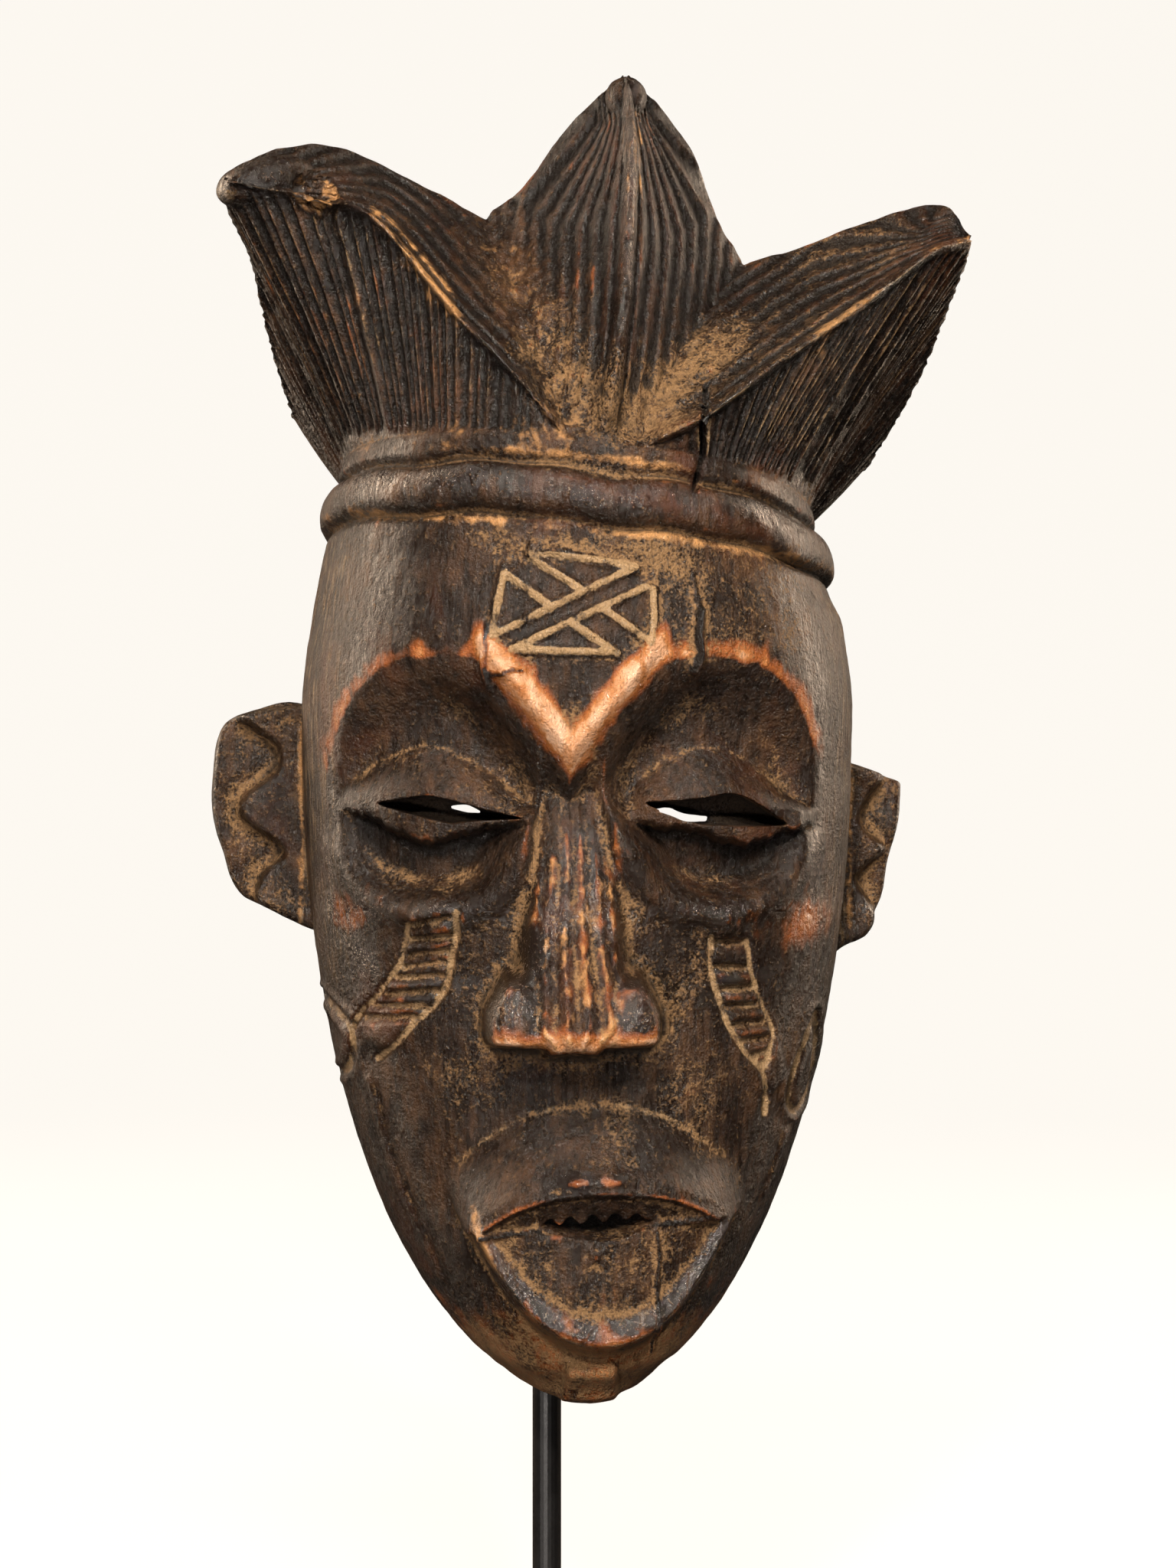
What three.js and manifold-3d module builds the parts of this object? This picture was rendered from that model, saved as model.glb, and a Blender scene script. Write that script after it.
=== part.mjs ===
// Chokwe mask: a face mask carved from one block of wood, with a fluted crown of three lobes,
// held up by a black steel rod on a foot.
// Millimetres, +Z up. The face looks along -Y. The origin is on the foot's underside, below the
// mask's widest section.
import * as THREE from "three";
import { mergeVertices } from "three/addons/utils/BufferGeometryUtils.js";
import Module from "manifold-3d";

const wasm = await Module();
wasm.setup();

// Driving dimensions. The mask has its own axes: x across, f forward from its widest section, and z
// up from the chin. place() sets them over the rod.
const CHIN_LIFT = 100; // chin above the table
const MASK_SHIFT = 7.5; // the rod stands a little to one side of the mask's middle
const FACE = { widest: 75, widestZ: 180, bottomZ: -3, egg: 2.2, plan: 2.2, templeLoss: 8.8, rimBack: 45,
  rimChin: 4, rimLow: 5, rimHigh: 85, rimTaper: 0.05, collarTop: 250, carvedTo: 222 };
const FRONT = [[-3, 36], [3, 48], [12, 56], [26, 59], [60, 58], [100, 58], [128, 62], [160, 66], [192, 70],
  [222, 67], [250, 66]]; // how far forward the bare face is at each height
const BAND = { z: 232.5, half: 6.2, bulge: 3.6, groove: 1.4, grooveWide: 0.16, collar: 1.2, tipsFrom: 200,
  shearX: 0.104, shearF: 0.1 };
const HOLLOW = { side: 11, front: 17, bottomZ: 16, topZ: 226, mouthBack: 60, plan: 2.3, roof: 0.8,
  floor: 0.14, shallow: 0.55 };
const VEE = { x: -5.3, z: 164, slope: 1.18, flank: 13, ridge: 3.3, ridgeAt: 3, ridgeWide: 2.9, reach: 27 };
const SOCKETS = [
  { x: -37, half: 31, lowX: -41, lowHalf: 27 },
  { x: 30, half: 31.7, lowX: 34, lowHalf: 27 },
];
const SOCKET = { z: 150, up: 43, down: 25, depth: 15, lose: 0.14, round: 2.6, lowRound: 2.3, turnLow: 141,
  turnHigh: 160, scoop: [0.62, 1.03], lowScoop: [0.5, 0.84], ring: 3.4, ringAt: 0.93, ringWide: 0.15 };
const EYES = [
  { x: -36.5, z: 153.3, half: 20.5, open: 2.6, deep: 44, hole: [-36, -23], holeZ: 153, holeHigh: 3 },
  { x: 33, z: 153, half: 19.5, open: 3.4, deep: 44, hole: [17, 37], holeZ: 152.5, holeHigh: 3.8 },
];
const LID = { wide: 25, up: 15, down: 9.5, rise: 9, round: 2.4, bottom: 118, top: 180 };
const NOSE = { x: -4.5, rootZ: 159, tipZ: 97, baseZ: 93.5, root: 57, tip: 82, flutes: 5, flute: 1.2,
  flat: [4.5, 10.5], foot: [8, 17] };
const WING = { x: 16, top: 112, bottom: 95.5, half: 5.2, f: 74 };
const LIP = { x: 1.2, arch: 78, archDrop: 13, half: 33, edge: 57.8, edgeDrop: 8.5, rise: 13.5 };
const MOUTH = { x: 2, z: 47.2, half: 30, lips: 2.4, teeth: 7, left: -14, right: 18, high: 3.2 };
const JAW = { x: 3.2, bottom: 19, rise: 26, half: 31.2, power: 2.2, plate: 9, rim: 4 };
const CHIN_BOSS = { x: 0.6, half: 7, top: 9, rise: 4 };
const LINE = { wide: 2.4, deep: 1.4, rung: 2, rungRise: 1.1 };
const EAR = { x: 73, f: -3, thick: 10, step: 4.6, root: 9, left: { z: 153.5, half: 29, reach: 27 },
  right: { z: 138.5, half: 27, reach: 18 } };
const ROD = { radius: 4, y: 14 };
const SADDLE = { half: 14, deep: 16, thick: 2.5, drop: 2.6, clear: 1.5 };
const FOOT = { wide: 160, deep: 140, thick: 10, edge: 1.5, y: 4 };
const GAP = 0.3; // between pieces that touch
const SMOOTH = 0.1; // facets nearer than this to flat are joined

// Crown, as stations [x, f, z] in the mask's axes, with the collar angle that each wall station
// stands over.
const LEFT_ROOT = [-6, 69, 245];
const MIDDLE_ROOT = [2.8, 69.5, 244.5];
const RIGHT_ROOT = [12, 69, 243];
const LEFT_KEEL = [LEFT_ROOT, [-19, 66.5, 262], [-36, 63, 280], [-54, 58, 302], [-70, 51, 309],
  [-94, 42, 315]];
const LEFT_EDGE = [LEFT_ROOT, [-9, 56, 261], [-15, 42, 285], [-23, 22, 308], [-46, 22, 321.5],
  [-66, 26, 329], [-84, 34, 325], [-94, 42, 315]];
const MIDDLE_KEEL = [MIDDLE_ROOT, [6.5, 66, 266], [9, 62, 290], [11, 55, 322], [10.5, 40, 345]];
const MIDDLE_LEFT = [LEFT_ROOT, [-11, 55, 262], [-19, 41, 286], [-26, 21, 309], [-15, 23, 320],
  [-5.5, 25, 333], [3, 30, 341], [10.5, 40, 345]];
const MIDDLE_RIGHT = [RIGHT_ROOT, [18, 55, 256], [31, 39, 277], [44, 21, 297], [37, 23, 311],
  [30, 25, 328], [20, 30, 340], [10.5, 40, 345]];
const RIGHT_KEEL = [RIGHT_ROOT, [28, 66, 252], [50, 62.5, 268], [71, 58, 283], [89, 51, 297],
  [101.5, 42, 302]];
const RIGHT_EDGE = [RIGHT_ROOT, [16, 56, 258], [27, 40, 279], [41, 22, 298], [60, 22, 304.5],
  [80, 25, 312], [96, 32, 314], [101.5, 42, 302]];
const LEFT_REAR = [[-89, 10, 301], [-85.5, -12, 284], [-79.5, -36, 264]];
const RIGHT_REAR = [[101, 14, 289], [96, -10, 271], [86, -36, 250]];
const LEFT_ANGLES = [4, 16, 32, 45, 56, 76, 90, 104, 122];
const RIGHT_ANGLES = [9, 24, 36, 45, 56, 76, 90, 104, 122];
const WALL = { flutes: 27, deep: 1.8, buried: 8, flare: 1.12, rearFlare: 0.85, sunk: 9, sunkAt: 0.3,
  low: 20 };
const LOBE = { flutes: 6, deep: 1.3, rows: 7, hollowed: 3.4, keel: 2.4, keelHalf: 3.6, buried: 7 };
const BEAK = { at: [-83, 38, 316], size: [13, 9, 6.5], tilt: -0.25 };
const TIP = { at: [10.9, 36.5, 339.9], size: [5.5, 5.7, 5.7] };

const clamp = (v, low = 0, high = 1) => Math.min(high, Math.max(low, v));
const step = (from, to, v) => {
  const t = clamp((v - from) / (to - from));
  return t * t * (3 - 2 * t);
};
const bump = (d, wide) => Math.exp(-((d / wide) ** 2));
const mix = (a, b, t) => a + (b - a) * t;

// A smooth curve through stations, and the same curve read at t from 0 to 1.
function curveThrough(stations) {
  const points = stations.map((s) => new THREE.Vector3(...s));
  return new THREE.CatmullRomCurve3(points, false, "catmullrom", 0.5);
}

function chain(stations) {
  const curve = curveThrough(stations);
  return (t) => curve.getPoint(clamp(t)).toArray();
}

// A value read off a short table of [at, value] pairs, rounded between them.
function profile(table, at) {
  const i = table.findIndex((row) => row[0] > at);
  if (i < 0) return table[table.length - 1][1];
  if (i === 0) return table[0][1];
  return mix(table[i - 1][1], table[i][1], step(table[i - 1][0], table[i][0], at));
}

// The mask's axes to the part's.
const place = ([x, f, z]) => [x + MASK_SHIFT, -f, z + CHIN_LIFT];

// The head's bare form: half width and front at each height, with the band's roll round it.
function bandRoll(z) {
  const d = (z - BAND.z) / BAND.half;
  const roll = Math.abs(d) < 1 ? BAND.bulge * Math.sqrt(1 - d * d) : 0;
  const grooves = bump(Math.abs(d) - 1.08, BAND.grooveWide) * BAND.groove;
  const top = BAND.z + BAND.half;
  return roll - grooves + BAND.collar * step(top + 1, top + 3, z);
}

function halfWidth(z) {
  const below = clamp((FACE.widestZ - z) / (FACE.widestZ - FACE.bottomZ));
  const egg = FACE.widest * Math.sqrt(1 - below ** FACE.egg);
  const above = Math.max(0, (z - FACE.widestZ) / (BAND.z - FACE.widestZ));
  return egg - FACE.templeLoss * above ** 1.5 + bandRoll(z);
}

const frontReach = (z) => profile(FRONT, z) + bandRoll(z);

const rimAt = (z) => mix(FACE.rimChin, FACE.rimBack, step(FACE.rimLow, FACE.rimHigh, z));

// Sockets, eyes, nose, lips and chin, each as a change to the depth of the bare face.
function socketDepth(x, z) {
  const fromVee = (VEE.slope * Math.abs(x - VEE.x) - (z - VEE.z)) / Math.hypot(1, VEE.slope);
  const low = step(SOCKET.turnHigh, SOCKET.turnLow, z);
  const power = mix(SOCKET.round, SOCKET.lowRound, low);
  const along = Math.abs(z - SOCKET.z) / (z > SOCKET.z ? SOCKET.up : SOCKET.down);
  let cut = 0;
  let ring = 0;
  for (const s of SOCKETS) {
    const across = Math.abs(x - mix(s.x, s.lowX, low)) / mix(s.half, s.lowHalf, low);
    const r = (across ** power + along ** power) ** (1 / power);
    const [floor, edge] = [0, 1].map((k) => mix(SOCKET.scoop[k], SOCKET.lowScoop[k], low));
    cut = Math.max(cut, 1 - step(floor, edge, r));
    ring = Math.max(ring, bump(r - SOCKET.ringAt, SOCKET.ringWide) * step(0, 9, SOCKET.z - z));
  }
  const fromMiddle = Math.abs(x - VEE.x);
  const between = step(12, 4, fromMiddle) * step(SOCKET.z - 22, SOCKET.z - 8, z);
  cut = Math.max(cut, between) * step(-1, VEE.flank, fromVee);
  const ends = step(VEE.reach, VEE.reach - 10, fromMiddle);
  const ridge = VEE.ridge * bump(fromVee + VEE.ridgeAt, VEE.ridgeWide) * ends;
  return ridge - cut * (SOCKET.depth - SOCKET.lose * fromMiddle) + SOCKET.ring * ring;
}

function lidRise(x, z) {
  let rise = 0;
  for (const e of EYES) {
    const dz = (z - e.z) / (z > e.z ? LID.up : LID.down);
    const r = Math.hypot((x - e.x) / LID.wide, dz);
    rise = Math.max(rise, LID.rise * Math.sqrt(Math.max(0, 1 - r ** LID.round)));
  }
  return rise;
}

function noseFront(x, z) {
  const d = Math.abs(x - NOSE.x);
  const down = clamp((NOSE.rootZ - z) / (NOSE.rootZ - NOSE.tipZ));
  const flat = mix(...NOSE.flat, down ** 0.8);
  const foot = mix(...NOSE.foot, down ** 0.7);
  const turn = (Math.PI * NOSE.flutes * (x - NOSE.x + flat)) / flat;
  const flute = d < flat ? NOSE.flute * (0.5 - 0.5 * Math.cos(turn)) * step(0, 0.15, down) : 0;
  const inside = 1 - step(flat, foot, d);
  const ends = step(NOSE.baseZ - 4, NOSE.baseZ + 1.5, z) * step(NOSE.rootZ + 6, NOSE.rootZ, z);
  return { crest: mix(NOSE.root, NOSE.tip, down ** 0.85) - flute, hold: inside * ends };
}

function wingFront(x, z) {
  const d = Math.abs(x - NOSE.x) - WING.x;
  const inside = step(WING.half + 1.5, WING.half - 1, Math.abs(d)) * step(WING.top + 2, WING.top - 2, z)
    * step(WING.bottom - 3.5, WING.bottom, z);
  const crest = WING.f - 0.5 * Math.max(0, z - WING.bottom) - 0.35 * Math.max(0, d + 2);
  return { crest, hold: inside };
}

function mouthForm(x, z, bare) {
  const d = Math.abs(x - LIP.x);
  const arch = LIP.arch - LIP.archDrop * (d / LIP.half) ** 2.2;
  const edge = LIP.edge - LIP.edgeDrop * (d / LIP.half) ** 2.4;
  const jaw = JAW.bottom + JAW.rise * (Math.abs(x - JAW.x) / JAW.half) ** JAW.power;
  const side = step(LIP.half + 4, LIP.half - 4, d);
  if (z > arch || z < jaw - 1.5) return bare;
  const lip = LIP.rise * clamp((arch - z) / (arch - edge)) ** 1.25;
  if (z > edge) return bare + lip * side;
  if (z > MOUTH.z) return bare + (LIP.rise - MOUTH.teeth * step(0, 2.5, edge - z)) * side;
  const rim = JAW.rim * bump(z - jaw - 2.5, 3.2);
  return bare + (JAW.plate + rim) * side * step(-1.5, 1, z - jaw);
}

function faceFront(x, z) {
  const ratio = clamp(Math.abs(x) / halfWidth(z));
  const bare = frontReach(z) * Math.max(0, 1 - ratio ** FACE.plan) ** (1 / FACE.plan);
  const fade = step(0.99, 0.88, ratio);
  let f = bare + (z < FACE.carvedTo ? socketDepth(x, z) * fade : 0);
  if (z > LID.bottom && z < LID.top) f += lidRise(x, z) * fade;
  f = mouthForm(x, z, f);
  const nose = noseFront(x, z);
  f = mix(f, Math.max(f, nose.crest), nose.hold);
  const wing = wingFront(x, z);
  f = mix(f, Math.max(f, wing.crest), wing.hold);
  const boss = step(CHIN_BOSS.half + 1.5, CHIN_BOSS.half - 0.5, Math.abs(x - CHIN_BOSS.x));
  return f + CHIN_BOSS.rise * boss * step(CHIN_BOSS.top + 2, CHIN_BOSS.top - 1, z);
}

// The band and collar tip down to the right and towards the back.
function tipped([x, f, z]) {
  const share = step(BAND.tipsFrom, BAND.z - BAND.half, z);
  const fromFront = profile(FRONT, FACE.collarTop) - f;
  return [x, f, z - share * (BAND.shearX * x + BAND.shearF * fromFront)];
}

// A solid for joining and cutting, with its faces turned outwards.
function manifoldOf(geometry) {
  const bare = geometry.clone();
  bare.deleteAttribute("normal");
  bare.deleteAttribute("uv");
  const merged = mergeVertices(bare, 1e-4);
  const vertProperties = merged.attributes.position.array;
  const triVerts = new Uint32Array(merged.index.array);
  const made = new wasm.Manifold(new wasm.Mesh({ numProp: 3, vertProperties, triVerts }));
  if (made.volume() > 0) return made;
  return new wasm.Manifold(new wasm.Mesh({ numProp: 3, vertProperties, triVerts: triVerts.reverse() }));
}

function solid(points, faces) {
  const geometry = new THREE.BufferGeometry();
  geometry.setAttribute("position", new THREE.Float32BufferAttribute(points.flat(), 3));
  geometry.setIndex(faces.flat());
  return manifoldOf(geometry);
}

const middle = (ring) => [0, 1, 2].map((k) => ring.reduce((sum, p) => sum + p[k], 0) / ring.length);

// Closed rings of points, joined one to the next, with the ends filled from their middles.
function ringSolid(rings, bottom = middle(rings[0]), top = middle(rings[rings.length - 1])) {
  const n = rings[0].length;
  const points = [...rings.flat(), bottom, top];
  const faces = [];
  const low = points.length - 2;
  const high = points.length - 1;
  for (let r = 0; r + 1 < rings.length; r++) {
    for (let i = 0; i < n; i++) {
      const a = r * n + i;
      const b = r * n + ((i + 1) % n);
      faces.push([a, b, b + n], [a, b + n, a + n]);
    }
  }
  const last = (rings.length - 1) * n;
  for (let i = 0; i < n; i++) {
    faces.push([(i + 1) % n, i, low], [last + i, last + ((i + 1) % n), high]);
  }
  return solid(points, faces);
}

// The one body that is left when crumbs at the cuts fall away.
const largest = (made) => made.decompose().sort((a, b) => b.volume() - a.volume())[0];

function meshOf(name, made, material) {
  const { vertProperties, triVerts, numProp } = made.getMesh();
  const position = new Float32Array((vertProperties.length / numProp) * 3);
  for (let i = 0; i < position.length / 3; i++) {
    position.set(vertProperties.subarray(i * numProp, i * numProp + 3), i * 3);
  }
  const geometry = new THREE.BufferGeometry();
  geometry.setAttribute("position", new THREE.BufferAttribute(position, 3));
  geometry.setIndex(new THREE.BufferAttribute(new Uint32Array(triVerts), 1));
  geometry.computeVertexNormals();
  const mesh = new THREE.Mesh(geometry, material);
  mesh.name = name;
  return mesh;
}

// Head: sections from the chin to the collar, each from the left rim round the face to the right rim.
const FACE_COLUMNS = [-71, -67.5, -63, -57, -51, -45, -39, -34, -29, -25, -21.5, -18, -14.5, -11, -8, -5.3,
  -2.5, 0.5, 4, 7.5, 11, 14.5, 18, 22, 27, 32, 37, 43, 49, 54, 58.5, 63, 67, 71];
const FACE_ROWS = [0, 1.5, 6, 11, 16, 18.5, 21, 25, 32, 40, 46.6, 47.8, 51, 55.5, 58.5, 64, 71, 78, 87, 91,
  94, 97, 103, 112, 120, 124, 128, 135, 142, 148, 153, 159, 166, 176, 185, 189, 197, 210, 224, 226.5, 232.5,
  236.5, 239, 242, 250];

// Lines of the carving that rows of the head follow, each with the level of its row: the jaw, the
// lip's edge and arch, the ring under the eyes, and the brow down to the point of the V.
const near = (x, middleX, half, fall) => step(half + fall, half, Math.abs(x - middleX));
const jawLine = (x) => JAW.bottom + JAW.rise * clamp(Math.abs(x - JAW.x) / JAW.half) ** JAW.power;
const lipEdge = (x) => LIP.edge - LIP.edgeDrop * clamp(Math.abs(x - LIP.x) / LIP.half) ** 2.4;
const lipArch = (x) => LIP.arch - LIP.archDrop * clamp(Math.abs(x - LIP.x) / LIP.half) ** 2.2;
function browLine(x) {
  const arches = SOCKETS.filter((s) => Math.sign(x - VEE.x) === Math.sign(s.x - VEE.x)).map((s) => {
    const t = clamp(Math.abs(x - s.x) / s.half, 0, 0.985);
    return SOCKET.z + SOCKET.up * (1 - t ** SOCKET.round) ** (1 / SOCKET.round);
  });
  return Math.min(VEE.z + VEE.slope * Math.abs(x - VEE.x), ...arches);
}
function ringLine(x) {
  const lines = SOCKETS.map((s) => {
    const t = clamp(Math.abs(x - s.lowX) / s.lowHalf, 0, 0.93);
    const low = SOCKET.z - 0.92 * SOCKET.down * (1 - t ** SOCKET.lowRound) ** (1 / SOCKET.lowRound);
    return mix(127, low, near(x, s.lowX, s.lowHalf - 1, 7));
  });
  return Math.max(...lines);
}
const GUIDES = [
  [0, () => 0],
  [20, (x) => mix(20, jawLine(x), near(x, JAW.x, JAW.half, 14))],
  [46.6, () => 46.6],
  [47.8, () => 47.8],
  [57.8, (x) => mix(57.8, lipEdge(x), near(x, LIP.x, LIP.half, 12))],
  [78, (x) => mix(78, lipArch(x), near(x, LIP.x, LIP.half, 14))],
  [92, () => 92],
  [112, () => 112],
  [127, ringLine],
  [148, () => 148],
  [153, () => 153],
  [185, (x) => mix(185, browLine(x), near(x, -5, 66, 4))],
  [220, () => 220],
];

function followed(x, level) {
  const i = GUIDES.findIndex((guide) => guide[0] > level);
  if (i < 1) return level;
  const [low, lowLine] = GUIDES[i - 1];
  const [high, highLine] = GUIDES[i];
  return mix(lowLine(x), highLine(x), (level - low) / (high - low));
}

function headSection(z) {
  const w = halfWidth(z);
  const reach = frontReach(z);
  const rim = rimAt(z);
  const turn = [79, 90].map((degrees) => {
    const a = (degrees * Math.PI) / 180;
    return [w * Math.sin(a) ** (2 / FACE.plan), reach * Math.max(0, Math.cos(a)) ** (2 / FACE.plan), z];
  });
  const back = [0.5, 1].map((share) => [w * (1 - FACE.rimTaper * share), -rim * share, z]);
  const side = [...turn, ...back];
  const front = FACE_COLUMNS.map((column) => {
    const across = (column * w) / FACE.widest;
    const level = followed(across, z);
    const x = (column * halfWidth(level)) / FACE.widest;
    return [x, faceFront(x, level), level];
  });
  const left = side.map(([x, f, level]) => [-x, f, level]).reverse();
  return [...left, ...front, ...side].map(tipped).map(place);
}

const head = () => ringSolid(FACE_ROWS.map(headSection));

// Hollow: the same egg, smaller, running out through the back.
function hollow() {
  const rows = [0, 0.04, 0.12, 0.25, 0.4, 0.55, 0.7, 0.83, 0.93, 0.98, 1];
  const rings = rows.map((share) => {
    const z = mix(HOLLOW.bottomZ, HOLLOW.topZ, share);
    const roof = Math.sqrt(Math.max(0.002, 1 - clamp((share - HOLLOW.roof) / (1 - HOLLOW.roof)) ** 2.2));
    const floor = Math.sqrt(Math.max(0.01, 1 - clamp(1 - share / HOLLOW.floor) ** 2));
    const w = (halfWidth(Math.min(z, 215)) - HOLLOW.side) * roof * floor;
    const reach = (profile(FRONT, z) - HOLLOW.front) * mix(HOLLOW.shallow, 1, roof * floor);
    const ring = [[-w, -HOLLOW.mouthBack, z]];
    for (let i = 0; i <= 18; i++) {
      const a = (i / 18 - 0.5) * Math.PI;
      const x = w * Math.sign(a) * Math.abs(Math.sin(a)) ** (2 / HOLLOW.plan);
      ring.push([x, reach * Math.max(0, Math.cos(a)) ** (2 / HOLLOW.plan), z]);
    }
    ring.push([w, -HOLLOW.mouthBack, z]);
    return ring.map(place);
  });
  return ringSolid(rings);
}

// Crown: a fluted wall that flares from the collar to the keels, and four fluted faces above them.
function collarPoint(degrees, z, side) {
  const a = (Math.min(degrees, 90) * Math.PI) / 180;
  const w = halfWidth(z) - 0.6;
  const reach = frontReach(z) - 0.6;
  const back = Math.max(0, degrees - 90) * 1.15;
  const x = w * Math.abs(Math.sin(a)) ** (2 / FACE.plan);
  return tipped([side * x, reach * Math.max(0, Math.cos(a)) ** (2 / FACE.plan) - back, z]);
}

function crownWall() {
  const sides = [
    { side: -1, crest: [...LEFT_KEEL, ...LEFT_REAR], angles: LEFT_ANGLES },
    { side: 1, crest: [...RIGHT_KEEL, ...RIGHT_REAR], angles: RIGHT_ANGLES },
  ];
  const columns = sides.map(({ side, crest, angles }) => {
    const top = curveThrough(crest);
    const under = chain(angles.map((a) => [a, 0, 0]));
    return Array.from({ length: 2 * WALL.flutes + 1 }, (_, i) => {
      const t = top.getUtoTmapping(i / (2 * WALL.flutes));
      const degrees = clamp(under(t)[0], 0, angles[angles.length - 1]);
      const foot = collarPoint(degrees, FACE.collarTop - 1, side);
      return { crest: top.getPoint(t).toArray(), foot, cut: i % 2 ? WALL.deep : 0 };
    });
  });
  const all = [...columns[0].reverse(), ...columns[1]];
  const heights = [-0.12, 0, 0.12, 0.9, 1];
  const rings = heights.map((t) => all.map(({ crest, foot, cut }) => {
    const up = Math.max(t, 0);
    const flare = up ** mix(WALL.rearFlare, WALL.flare, step(-20, 15, crest[1]));
    const x = mix(foot[0], crest[0], flare);
    const f = mix(foot[1], crest[1], flare);
    const z = t < 0 ? foot[2] - WALL.buried : mix(foot[2], crest[2], up);
    const channel = cut * step(0, 0.1, t) * step(1.02, 0.9, t) * clamp((crest[2] - foot[2]) / WALL.low);
    const deep = t < 0 ? 3 : channel;
    const away = Math.hypot(x, f + 20);
    return place([x - (deep * x) / away, f - (deep * (f + 20)) / away, z]);
  }));
  const rim = rings[rings.length - 1];
  const centre = middle(rim);
  const inner = rim.map((p) => p.map((v, k) => mix(v, centre[k], WALL.sunkAt) - (k === 2 ? WALL.sunk : 0)));
  return ringSolid([...rings, inner]);
}

// One lobe: fluted faces from rail to rail, filled straight back to the crown's plain rear. The
// first row and a side lobe's lowest rail are buried in the wood that carries them.
function crownLobe(rails, fluted) {
  const curves = rails.map(chain);
  const front = [];
  let n = 0;
  for (let j = 0; j <= LOBE.rows; j++) {
    const v = mix(0.02, 0.985, j / LOBE.rows);
    const at = curves.map((curve) => curve(v));
    const row = [];
    for (let k = 0; k + 1 < at.length; k++) {
      const columns = fluted[k] ? 2 * LOBE.flutes : 1;
      for (let i = k ? 1 : 0; i <= columns; i++) {
        const u = i / columns;
        const point = at[k].map((value, axis) => mix(value, at[k + 1][axis], u));
        const fromKeel = Math.hypot(...point.map((value, axis) => value - at[1][axis]));
        const keel = LOBE.keel * step(LOBE.keelHalf + 1, LOBE.keelHalf - 1, fromKeel) * step(0, 0.12, v);
        const cut = fluted[k] && i % 2 ? LOBE.deep * step(0, 0.25, v) * step(1, 0.85, v) : 0;
        const hollowed = fluted[k] ? LOBE.hollowed * Math.sin(Math.PI * u) * v : 0;
        point[1] -= j === 0 ? LOBE.buried : cut + hollowed - keel;
        row.push(point);
      }
    }
    n = row.length;
    front.push(...row);
  }
  const loop = [];
  for (let i = 0; i < n - 1; i++) loop.push(i);
  for (let j = 0; j < LOBE.rows; j++) loop.push(j * n + n - 1);
  for (let i = n - 1; i > 0; i--) loop.push(LOBE.rows * n + i);
  for (let j = LOBE.rows; j > 0; j--) loop.push(j * n);
  const rear = loop.map((k) => {
    const [x, , z] = front[k];
    return [x * 0.97, mix(-34, 12, step(250, 318, z)), z - 1.5];
  });
  const points = [...front, ...rear, middle(rear)].map(place);
  const faces = [];
  for (let j = 0; j < LOBE.rows; j++) {
    for (let i = 0; i + 1 < n; i++) {
      const a = j * n + i;
      faces.push([a, a + 1, a + 1 + n], [a, a + 1 + n, a + n]);
    }
  }
  loop.forEach((k, i) => {
    const next = (i + 1) % loop.length;
    const back = front.length + i;
    const backNext = front.length + next;
    faces.push([k, back, backNext], [k, backNext, loop[next]], [backNext, back, points.length - 1]);
  });
  return solid(points, faces);
}

// A bar swept along stations on the face, square in section and sunk or raised.
function bar(stations, wide, low, high) {
  const rings = stations.map(([x, z], i) => {
    const next = stations[Math.min(i + 1, stations.length - 1)];
    const last = stations[Math.max(i - 1, 0)];
    const long = Math.hypot(next[0] - last[0], next[1] - last[1]);
    const across = [((next[1] - last[1]) / long) * 0.5 * wide, (-(next[0] - last[0]) / long) * 0.5 * wide];
    const f = faceFront(x, z);
    return [[-1, low], [1, low], [1, high], [-1, high]].map(([s, rise]) => place([x + s * across[0], f + rise,
      z + s * across[1]]));
  });
  return ringSolid(rings);
}

const along = (a, b, n) => Array.from({ length: n + 1 }, (_, i) => [0, 1].map((k) => mix(a[k], b[k], i / n)));

// A closed outline in x and z, filled between two depths. The inner end may be drawn in to a wedge.
function slab(outline, front, back, drawn = 1) {
  const n = outline.length;
  const flat = outline.map((p) => new THREE.Vector2(...p));
  const turned = THREE.ShapeUtils.isClockWise(flat);
  const [cx, cz] = [0, 1].map((k) => outline.reduce((sum, p) => sum + p[k], 0) / n);
  const at = (f, share) => outline.map(([x, z]) => place([mix(cx, x, share), f, mix(cz, z, share)]));
  const faces = THREE.ShapeUtils.triangulateShape(flat, []).flatMap(([a, b, c]) => {
    const same = THREE.ShapeUtils.isClockWise([flat[a], flat[b], flat[c]]) === turned;
    return same ? [[a, b, c], [c + n, b + n, a + n]] : [[c, b, a], [a + n, b + n, c + n]];
  });
  outline.forEach((_, i) => {
    const next = (i + 1) % n;
    faces.push([next, i, i + n], [next, i + n, next + n]);
  });
  return solid([...at(back, drawn), ...at(front, 1)], faces);
}

// A slit's outline: pointed at both ends, high in the middle.
function slit(from, to, z, high) {
  const half = 5;
  const turn = Array.from({ length: 2 * half + 1 }, (_, i) => i / half - 1);
  const edge = (side) => turn.map((t) => [mix(from, to, (t + 1) / 2), z + (side * high * (1 - t * t)) / 2]);
  return [...edge(-1), ...edge(1).slice(1, -1).reverse()];
}

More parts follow.
